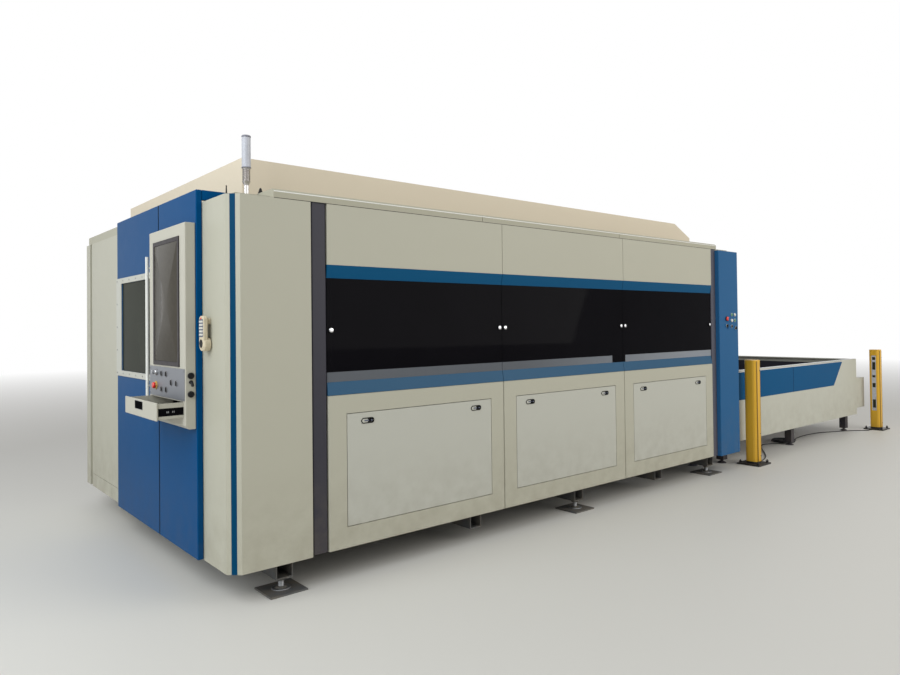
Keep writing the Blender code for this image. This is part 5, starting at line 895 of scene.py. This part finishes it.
class LASERMACHINE_OT_console(bpy.types.Operator):
    """Fit the display, the controls with their collars, the glands and the drawer's slides and keys"""

    bl_idname = "laser_machine.console"
    bl_label = "Fit the Console"

    def execute(self, context):
        size = settings("fittings")
        low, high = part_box("console_screen")
        glass = slab(high.y - low.y - 2 * size.bezel, high.z - low.z - 2 * size.bezel, 0.003, 3)
        place = (low.x + 0.0026, (low.y + high.y) / 2, (low.z + high.z) / 2)
        put("console_display", [raised(glass, mm(0, 0, 0, 1.2, 0.6, 1.6), place, "-X")], "display")
        low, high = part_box("console_plate")
        inset, radius = 0.012, size.screw * 0.8
        screws = [
            screw_head(radius, 0.0018, 12, (low.x, y, z), "-X")
            for y in (low.y + inset, high.y - inset) for z in (low.z + inset, high.z - inset)
        ]
        rims = []
        rim, cap = slab(0.026, 0.037, 0.013, 7), slab(0.0176, 0.0286, 0.0088, 7)
        head = mm(0.4, 3.4, 0, 4.2, 0, 5.8, 1.2, 6.8, 4, 7.2)
        for number in range(1, 7):
            name = f"console_button_{number}"
            place = self.on_plate(name)
            rims.append(ring(rim, 0.0038, 0.003, place, "-X"))
            put(name + "_cap", [raised(cap, head, place, "-X")], "black", name, (name,))
        lock = self.on_plate("console_key_switch")
        rims.append(ring(disc(0.0205, 28), 0.0045, 0.004, lock, "-X"))
        barrel = raised(disc(0.0148, 28), mm(0, 0.6, 0, 10, 1.5, 11.5), lock, "-X")
        bow = raised(slab(0.0042, 0.024, 0.002, 3), mm(0, 11, 0, 27, 0.8, 28), lock, "-X")
        put("key_switch_barrel", [barrel, bow], "chrome", "console_key_switch", ("console_key_switch",))
        put("console_rims", rims + screws, "zinc")
        stop = self.on_plate("console_estop")
        put("stop_collar", [ring(disc(0.026, 32), 0.013, 0.0032, stop, "-X")], "collar")
        put("stop_stem", [raised(disc(0.0115, 24), mm(0, 3.4, 0, 9), stop, "-X")], "chrome", "console_estop")
        head = mm(3.5, 7.8, 1.2, 8.5, 0, 10.5, 0, 16.5, 1, 19.2, 4, 21.4, 9, 22.2, 16.5, 22.4)
        mushroom = raised(disc(0.0192, 32), head, stop, "-X")
        put("stop_head", [mushroom], "red", "console_estop", ("console_estop",))
        self.glands()
        self.drawer(size.key_pitch)
        return {"FINISHED"}

    def on_plate(self, node):
        """The place of a control on the plate's face."""
        centre = middle_of(node)
        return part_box("console_plate")[0].x, centre.y, centre.z

    def glands(self):
        """Two knurled glands with an elbow plug between them, on the console's side."""
        x, side = middle_of("console_housing").x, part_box("console_housing")[0].y
        face = side + 0.0094
        nut = mm(1, 0, 0, 1, 0, 9, 1.6, 11.5, 6, 12.5, 6.5, 11.2, 17.2, 11)
        parts = [raised(knurled(0.0178, 18, 0.03, 72), nut, (x, face, z), "-Y") for z in GLAND_Z]
        parts.append(raised(disc(0.0105, 20), mm(0, 0, 0, 8, 1, 9), (x, face, PLUG_Z), "-Y"))
        bend, reach = np.linspace(0, np.pi / 3, 9), 0.020
        y, z = side + 0.002 - reach * np.sin(bend), PLUG_Z - reach * (1 - np.cos(bend))
        elbow = np.stack((np.full(9, x), y, z), 1)
        last = elbow[-1] + np.array((0, -0.005, -0.0087)) * 1.2
        parts.append(along(np.vstack(((x, side + 0.008, PLUG_Z), elbow, last)), 0.0078, 16))
        put("console_glands", parts, "black")

    def drawer(self, pitch):
        """The pull's cup, in a flat dark that is painted shade, the telescopic slides and the caps of the
        keyboard.
        """
        low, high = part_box("keyboard_drawer")
        body = "keyboard_drawer"
        pull = np.array((low.x, (low.y + high.y) / 2 + 0.024, low.z + (high.z - low.z) * 0.66))
        black = [
            raised(slab(0.152, 0.046, 0.004, 4), mm(0, 0, 0, 0.2, 1, 0.3), pull, "-X"),
            ring(slab(0.120, 0.030, 0.004, 4), 0.003, 0.0006, pull, "-X"),
            raised(slab(0.070, 0.007, 0.002, 3), mm(0, 0, 0, 0.6, 0.4, 0.8), pull + (0, 0, 0.012), "-X"),
        ]
        marks = []
        middle, long, slide_z = (low.x + high.x + 0.008) / 2, high.x - low.x - 0.018, low.z + 0.045
        for y, proud, facing in ((low.y + 0.011, -0.0005, "-Y"), (high.y - 0.011, 0.0005, "+Y")):
            slide = slab(long, 0.044, 0.002, 3)
            black.append(raised(slide, mm(0, -0.4, 0, 0.5), (middle, y, slide_z), facing))
            for offset in (-0.080, -0.072, -0.050, -0.042):
                place = (middle + offset, y + proud, slide_z)
                marks.append(raised(slab(0.005, 0.010, 0.001, 2), mm(0, 0, 0, 0.3), place, facing))
        put("drawer_black_and_shade_parts", black, "void", body)
        put("drawer_pull_rim", [ring(slab(0.156, 0.050, 0.006, 5), 0.0025, 0.0008, pull, "-X")], "zinc", body)
        put("drawer_slide_slots", marks, "zinc", body)
        key, edge = slab(pitch * 0.86, 0.0184, 0.002, 2), 0.0555
        caps = [
            raised(key, mm(0, 0, 1.2, 4.8), (low.x + 0.0318 + 0.022 * row, float(y), low.z + 0.0200))
            for row in range(5) for y in np.arange(low.y + edge, high.y - edge, pitch)
        ]
        put("keyboard_caps", caps, "keys", body)
        x, y = (low.x + 0.0175, low.x + 0.1385), (low.y + 0.0400, high.y - 0.0400)
        put("keyboard_base", [block(x, y, (low.z + 0.0110, low.z + 0.0204))], "keys", body)


class LASERMACHINE_OT_pendant(bpy.types.Operator):
    """Hang the handheld pendant with its knob and buttons in its holder"""

    bl_idname = "laser_machine.pendant"
    bl_label = "Hang the Pendant"

    def execute(self, context):
        low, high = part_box("pendant")
        thick, wide, tall = high - low
        wall = high.x - 0.0002
        face = wall - 0.985 * thick

        def at(x, height, across=0.0):
            """A place at a share of the pendant's height and of its width from the middle."""
            return x, (low.y + high.y) / 2 + across * wide, low.z + tall * height

        def shell(width, height, corner, *profile):
            """A round-cornered shell that stands off the wall by shares of the pendant's thickness."""
            profile = np.reshape(profile, (-1, 2)) * (0.001, thick)
            return slab(wide * width, tall * height, wide * corner, 7), profile.tolist()

        grip = shell(0.84, 0.92, 0.28, 10, 0.42, 3, 0.46, 0, 0.54, 0, 0.88, 3, 0.96, 9, 0.985)
        bowl = shell(1, 0.38, 0.40, 10, 0.02, 2, 0.12, 0, 0.30, 0, 0.80, 4, 0.90)
        put("pendant_shell", [
            raised(slab(wide * 0.42, tall * 0.16, 0.005, 4), [(0, 0), (0, thick * 0.5)], at(wall, 0.84), "-X"),
            raised(*grip, at(wall, 0.53), "-X"),
            raised(*bowl, at(wall, 0.20), "-X"),
        ], "ivory", stands_for=("pendant",))
        pad = slab(wide * 0.70, tall * 0.50, 0.006, 4)
        put("pendant_pad", [raised(pad, mm(0, 0, 0, 0.6, 0.4, 0.9), at(face + 0.0006, 0.65), "-X")], "pad")
        key, cap = slab(wide * 0.18, tall * 0.055, 0.002, 3), mm(0, 0, 0, 1.6, 0.6, 2.2)
        put("pendant_keys", [
            raised(key, cap, at(face + 0.0002, 0.47 + 0.09 * row, column * 0.22), "-X")
            for row in range(5) for column in (-1, 0, 1)
        ], "white")
        wheel = knurled(wide * 0.27, 20, 0.035, 60)
        profile = mm(0, 0, 0, 2.2, 1.5, 3.2, 6, 3.4)
        put("pendant_wheel", [raised(wheel, profile, at(face + 0.001, 0.22), "-X")], "black")
        place = (*at(face + 0.0006, 0)[:2], high.z - 0.016)
        put("pendant_stop", [raised(disc(0.0058, 18), mm(0, 0, 0, 3, 2, 4.2), place, "-X")], "red")
        return {"FINISHED"}


# Sheets' fittings

class LASERMACHINE_OT_sheet_fittings(bpy.types.Operator):
    """Fit the window knobs, the panel latches and the door frame's screws"""

    bl_idname = "laser_machine.sheet_fittings"
    bl_label = "Fit the Sheets"

    def execute(self, context):
        size = settings("fittings")
        knob = mm(3, 0, 3, 7.5, 0, 8.5, 0, 10.5, 1.2, 12.2, 5, 13, 11, 13.2)
        knobs = []
        for number in (1, 2, 3):
            low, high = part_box(f"window_{number}")
            for x in (low.x + KNOB_IN, high.x - KNOB_IN):
                place = (x, low.y + 0.0118, (low.z + high.z) / 2)
                knobs.append(raised(disc(size.knob, 28), knob, place, "-Y"))
            self.latches(number)
        put("window_knobs", knobs, "chrome")
        low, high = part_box("door_window_frame")
        bar = 0.020
        left, right, below, above = low.y + bar, high.y - bar, low.z + bar, high.z - bar
        places = [(y, z) for z in (below, above) for y in np.linspace(left, right, 7)]
        places += [(y, z) for y in (left, right) for z in np.linspace(below, above, 5)[1:-1]]
        screws = [screw_head(size.screw, 0.0022, 16, (low.x, *place), "-X") for place in places]
        put("door_frame_screws", screws, "zinc", "operator_door")
        return {"FINISHED"}

    def latches(self, number):
        """The oval recesses, paddles and locks of one service panel's two latches."""
        body = f"service_panel_{number}"
        low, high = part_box(body)
        frames, paddles = [], []
        rim, recess = slab(0.0912, 0.0342, 0.016, 9), slab(0.083, 0.026, 0.012, 9)
        paddle, lock = slab(0.032, 0.009, 0.003, 4), disc(0.0050, 20)
        y, z = low.y + 0.0028, high.z - LATCH_DOWN
        for x in (low.x + LATCH_IN, high.x - LATCH_IN):
            frames.append(ring(rim, 0.006, 0.0036, (x, y, z), "-Y"))
            frames.append(raised(recess, mm(0, 0, 0, 0.8), (x, y, z), "-Y"))
            paddles.append(raised(paddle, mm(0, 0, 0, 3, 1, 3.4), (x - 0.008, y, z), "-Y"))
            paddles.append(raised(lock, mm(0, 0, 0, 2.6, 1, 3), (x + 0.028, y, z), "-Y"))
        put(f"latch_frames_{number}", frames, "void", body)
        put(f"latch_paddles_{number}", paddles, "pad", body)


class LASERMACHINE_OT_column_controls(bpy.types.Operator):
    """Fit the stop, buttons and selectors of the exit column"""

    bl_idname = "laser_machine.column_controls"
    bl_label = "Fit the Column's Controls"

    def execute(self, context):
        start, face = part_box("portal_column")[0].x, CORNER.y - COLUMN_PROUD
        rims = []
        heads = {"black": [], "green": [], "white": []}

        def at(share, step):
            """A place at a share of the column's width and a number of steps above the controls' middle."""
            return start + COLUMN_WIDE * share, face, COLUMN_CONTROLS_Z + COLUMN_PITCH * step

        for share, step, tone in COLUMN_BUTTONS:
            place = at(share, step)
            rims.append(ring(disc(0.0172, 28), 0.004, 0.0062, place, "-Y"))
            heads[tone].append(raised(disc(0.0131, 28), mm(0, 0, 0, 9.4, 1, 10.4, 4, 11), place, "-Y"))
        lever, tilt = slab(0.0075, 0.026, 0.003, 4), 0.6
        for place in (at(*selector) for selector in COLUMN_SELECTORS):
            rims.append(ring(disc(0.0176, 28), 0.0028, 0.0062, place, "-Y"))
            heads["black"].append(raised(disc(0.0148, 28), mm(0, 0, 0, 13.2, 1, 14), place, "-Y"))
            heads["black"].append(raised(lever, mm(0, 13, 0, 17.8, 1, 18.6), place, "-Y", tilt))
        stop = at(*COLUMN_STOP)
        head = mm(3, 6.2, 0.6, 7, 0, 8.5, 0, 15, 1.5, 17.5, 5, 18.8, 12, 19)
        put("column_rims", rims, "chrome")
        for tone, shapes in heads.items():
            put(f"column_{tone}_buttons", shapes, tone)
        put("column_stop_collar", [ring(disc(0.024, 32), 0.010, 0.0040, stop, "-Y")], "steel_black")
        put("column_stop", [raised(disc(0.0196, 32), head, stop, "-Y")], "red")
        return {"FINISHED"}


class LASERMACHINE_OT_feet(bpy.types.Operator):
    """Thread the levelling spindles, lock them under the tubes and set their cups on the plates"""

    bl_idname = "laser_machine.feet"
    bl_label = "Fit the Feet"

    def execute(self, context):
        low, pitch, depth = 0.019, 0.0018, 0.0008
        thread = [(depth if step % 2 else 0.0, low + pitch * step) for step in range(22)]
        spindle = (disc(0.0172, 16), thread)
        nut = (disc(0.0215, 6), mm(2, 58.8, 0, 60.3, 0, 73, 2, 74.5))
        cup = (disc(0.055, 28), mm(1.5, 9.8, 0, 11.2, 0, 14.8, 2, 16.8))
        places = [spot(x, y, 0) for x in FOOT_X for y in FOOT_Y]
        parts = [raised(*part, place) for place in places for part in (spindle, nut, cup)]
        put("bed_foot_threads", parts, "zinc")
        return {"FINISHED"}


class LASERMACHINE_OT_guard_posts(bpy.types.Operator):
    """Set the lens strips, side screws and anchor bolts of the two light guard posts"""

    bl_idname = "laser_machine.guard_posts"
    bl_label = "Fit the Guard Posts"

    def execute(self, context):
        size = settings("fittings")
        lenses, marks, bolts, frames, groove_shade_strips = [], [], [], [], []
        tall = LENS_Z[1] - LENS_Z[0]
        for node, side, facing in (("light_post_near", 1, "+X"), ("light_post_far", -1, "-X")):
            x, y = CORNER.x + POST_X[node], CORNER.y
            inner = x + side * (POST_HALF - 0.0102)
            middle = (inner, y, sum(LENS_Z) / 2)
            lenses.append(raised(slab(0.050, tall - 0.010, 0.004, 4), mm(0, 0, 0, 5, 2, 6), middle, facing))
            frames.append(ring(slab(0.0566, tall - 0.0008, 0.003, 4), 0.0028, 0.0096, middle, facing))
            for low, high in LENS_MARKS:
                mark = slab(0.038, tall * (high - low), 0.003, 4)
                place = (inner, y, LENS_Z[0] + tall * (low + high) / 2)
                marks.append(raised(mark, mm(0, 5.5, 0, 6.6, 1, 7.2), place, facing))
            front = y - POST_HALF
            # Painted shade: dark yellow strips stand for the shade in the grooves
            for across, wide in POST_GROOVES:
                seam = slab(wide, 1.05, 0.001, 2)
                groove_shade_strips.append(raised(seam, mm(0, 0, 0, 0.4, 0.3, 0.6), (x + across, front, 0.553), "-Y"))
            sides = (-POST_BOLT_OUT, POST_BOLT_OUT)
            for centre in [(x + across, y + deep, POST_BOLT_Z) for across in sides for deep in sides]:
                bolts.append(raised(disc(0.0165, 20), mm(0, 0, 0, 2.2), centre))
                bolts.append(raised(disc(size.bolt * 1.2, 6), mm(0, 2, 0, 19.5, 1.5, 20.8), centre))
                bolts.append(raised(disc(0.0062, 12), mm(0, 20, 0, 31, 1, 32), centre))
            for z in POST_SCREWS_Z:
                bolts.append(screw_head(size.screw, 0.0025, 14, (x + 0.03, front, z), "-Y"))
        put("guard_lenses", lenses, "lens")
        put("guard_lens_marks", marks, "door_pane")
        put("guard_lens_frames", frames, "white")
        put("guard_groove_shade_strips", groove_shade_strips, "groove_shade")
        put("guard_bolts", bolts, "steel_black")
        return {"FINISHED"}


class LASERMACHINE_OT_table_trim(bpy.types.Operator):
    """Lay the bright wear strip on the shuttle table's edge and the moulding over its inlay"""

    bl_idname = "laser_machine.table_trim"
    bl_label = "Trim the Table"

    def execute(self, context):
        low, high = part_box("table_inlay")
        near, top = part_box("table_skirt")[0].y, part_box("table_skirt")[1].z
        y, z = (low.y - 0.0024, low.y - 0.0002), (high.z + 0.0008, high.z + 0.0068)
        moulding = block((low.x, high.x - 0.02), y, z, 0.0006)
        y, z = (near + 0.002, near + 0.046), (top + 0.0003, top + 0.0035)
        strip = block((low.x, CORNER.x + WEAR_STRIP_END), y, z, 0.001)
        put("table_moulding", [moulding, strip], "bright")
        return {"FINISHED"}


class LASERMACHINE_OT_pallets(bpy.types.Operator):
    """Lay the pallets' frames and many toothed slats"""

    bl_idname = "laser_machine.pallets"
    bl_label = "Lay the Pallets"

    def execute(self, context):
        size = settings("pallets")
        bar, rib = PALLET_BAR, 0.02
        for node in ("upper_pallet", "lower_pallet"):
            low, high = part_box(node)
            bottom = low.z + 0.0006
            x, y, z = (low.x, high.x), (low.y + bar, high.y - bar), (bottom, low.z + PALLET_DEEP)
            sides = [block(x, pair, z, 0.004) for pair in ((low.y, low.y + bar), (high.y - bar, high.y))]
            ends = [block(pair, y, z, 0.004) for pair in ((low.x, low.x + bar), (high.x - bar, high.x))]
            middles = [low.x + (high.x - low.x) * share for share in (0.25, 0.5, 0.75)]
            ribs = [block((at - rib, at + rib), y, (bottom + 0.002, bottom + 0.024)) for at in middles]
            put(node + "_frame", sides + ends + ribs, "pallet", node, (node,))
            places = np.linspace(low.x + bar * 1.6, high.x - bar * 1.6, size.slats)
            y, z = (low.y + SLAT_REACH, high.y - SLAT_REACH), (low.z + SLAT_BOTTOM, high.z)
            slats = toothed_slats(places, y, z, size.teeth, size.thick, size.tooth)
            put(node + "_slats", [slats], "slats", node, sharp=20)
        return {"FINISHED"}


# Stage

# Camera fitted to the photograph: place, directions in degrees, focal length and shift in pixels
CAMERA_AT = (-1.4409, -3.671, 1.4888)
CAMERA_TURN = (48.311, 0.838, -0.662)
FOCAL_PIXELS = 701.0
SHIFT_PIXELS = (-38.2, -22.7)
PICTURE_WIDE = 900.0
SENSOR = 36.0

# Each lamp's width, place, target and tint
LAMPS = {
    "Key": (7.0, (-5.0, -0.8, 5.2), (1.0, 1.2, 1.0), (0.92, 0.965, 1.0)),
    "Fill": (8.0, (7.8, -7.4, 4.6), (6.2, 0.0, 0.9), (1.0, 0.98, 0.93)),
}


class LASERMACHINE_OT_stage(bpy.types.Operator):
    """Set the camera, the soft lamps, the white surround and the pale floor"""

    bl_idname = "laser_machine.stage"
    bl_label = "Set the Stage"

    def execute(self, context):
        size = settings("stage")
        context.scene.view_settings.view_transform = "Standard"
        self.camera(context.scene)
        self.lamp("Key", size.key)
        self.lamp("Fill", size.fill)
        self.surround(context.scene, size.sky)
        self.floor(size)
        return {"FINISHED"}

    def camera(self, scene):
        """The fitted camera."""
        camera = bpy.data.objects.new("Camera", bpy.data.cameras.new("Camera"))
        scene.collection.objects.link(camera)
        yaw, pitch, roll = (math.radians(turn) for turn in CAMERA_TURN)
        flat = math.cos(pitch)
        ahead = Vector((flat * math.cos(yaw), flat * math.sin(yaw), math.sin(pitch)))
        level = Vector((math.sin(yaw), -math.cos(yaw), 0))
        above = level.cross(ahead)
        right = level * math.cos(roll) + above * math.sin(roll)
        top = above * math.cos(roll) - level * math.sin(roll)
        turned = Matrix((right, top, -ahead)).transposed().to_4x4()
        camera.matrix_world = Matrix.Translation(spot(*CAMERA_AT)) @ turned
        camera.data.sensor_width = SENSOR
        camera.data.lens = FOCAL_PIXELS / PICTURE_WIDE * SENSOR
        camera.data.shift_x, camera.data.shift_y = (shift / PICTURE_WIDE for shift in SHIFT_PIXELS)
        camera.data.clip_end = 300.0
        scene.camera = camera

    def lamp(self, name, energy):
        """A large soft lamp that looks at its target."""
        data = bpy.data.lights.new(name, "AREA")
        width, place, target, tint = LAMPS[name]
        place, target = spot(*place), spot(*target)
        data.energy, data.size, data.color = energy, width, tint
        lamp = bpy.data.objects.new(name, data)
        bpy.context.scene.collection.objects.link(lamp)
        turned = Vector(target - place).to_track_quat("-Z", "Y").to_matrix().to_4x4()
        lamp.matrix_world = Matrix.Translation(place) @ turned

    def surround(self, scene, strength):
        """White where the camera, a gloss or a pane sees it, and a plain soft light for everything else."""
        world = bpy.data.worlds.new("Surround")
        scene.world = world
        world.use_nodes = True
        world.node_tree.nodes.clear()
        shading = Shading(world.node_tree)
        light = shading.node("Background", Color=(1, 1, 1, 1), Strength=strength)
        white = shading.node("Background", Color=(1, 1, 1, 1), Strength=1.0)
        shading.node("OutputWorld", Surface=shading.over(shading.seen(), light, white))

    def floor(self, size):
        """A pale floor that fades to white away from the machine."""
        half = size.floor
        corners = [(-half, -half, 0), (half, -half, 0), (half, half, 0), (-half, half, 0)]
        mesh = bpy.data.meshes.new("Floor")
        mesh.from_pydata(corners, [], [(0, 1, 2, 3)])
        floor = bpy.data.objects.new("Floor", mesh)
        bpy.context.scene.collection.objects.link(floor)
        made = bpy.data.materials.new("Pale floor")
        made.use_nodes = True
        shading = Shading(made.node_tree)
        shader = made.node_tree.nodes["Principled BSDF"]
        shader.inputs["Base Color"].default_value = (*linear(214, 212, 206), 1)
        shader.inputs["Roughness"].default_value = 0.55
        away = shading.node("VectorMath", {"operation": "LENGTH"})
        shading.feed(away.inputs[0], shading.place())
        faded = shading.ramp(away.outputs["Value"], size.fade_start, size.fade_end)
        white = shading.node("Emission", Color=(1, 1, 1, 1), Strength=1.0)
        mixed = shading.over(shading.product(faded, shading.seen()), shader, white)
        shading.feed(made.node_tree.nodes["Material Output"].inputs["Surface"], mixed)
        mesh.materials.append(made)


class LASERMACHINE_PT_panel(bpy.types.Panel):
    """Lists the steps that dress the machine and the settings they read"""

    bl_label = "Laser Machine"
    bl_idname = "LASERMACHINE_PT_panel"
    bl_space_type = "VIEW_3D"
    bl_region_type = "UI"
    bl_category = "Laser Machine"

    def draw(self, context):
        for name, group, steps in STEPS:
            box = self.layout.box()
            box.label(text=name)
            values = settings(group)
            for label in values.__annotations__:
                box.prop(values, label)
            for step in steps:
                box.operator(step.bl_idname)


STEPS = (
    ("Paint", "paint", (LASERMACHINE_OT_paint,)),
    ("Guard cable", "cable", (LASERMACHINE_OT_guard_cable,)),
    ("Fittings", "fittings", (
        LASERMACHINE_OT_roof_fittings,
        LASERMACHINE_OT_console,
        LASERMACHINE_OT_pendant,
        LASERMACHINE_OT_sheet_fittings,
        LASERMACHINE_OT_column_controls,
        LASERMACHINE_OT_feet,
        LASERMACHINE_OT_guard_posts,
        LASERMACHINE_OT_table_trim,
    )),
    ("Pallets", "pallets", (LASERMACHINE_OT_pallets,)),
    ("Stage", "stage", (LASERMACHINE_OT_stage,)),
)
GROUPS = {
    "paint": PaintColours,
    "fittings": FittingSizes,
    "cable": GuardCableSizes,
    "pallets": PalletSizes,
    "stage": StageSizes,
}
CLASSES = (*GROUPS.values(), *(step for _, _, steps in STEPS for step in steps), LASERMACHINE_PT_panel)


def register():
    for made in CLASSES:
        bpy.utils.register_class(made)
    for name, group in GROUPS.items():
        setattr(bpy.types.Scene, "laser_machine_" + name, bpy.props.PointerProperty(type=group))


def unregister():
    for name in GROUPS:
        delattr(bpy.types.Scene, "laser_machine_" + name)
    for made in reversed(CLASSES):
        bpy.utils.unregister_class(made)


def main():
    register()
    for _, _, steps in STEPS:
        for step in steps:
            group, name = step.bl_idname.split(".")
            getattr(getattr(bpy.ops, group), name)()


if __name__ == "__main__":
    main()
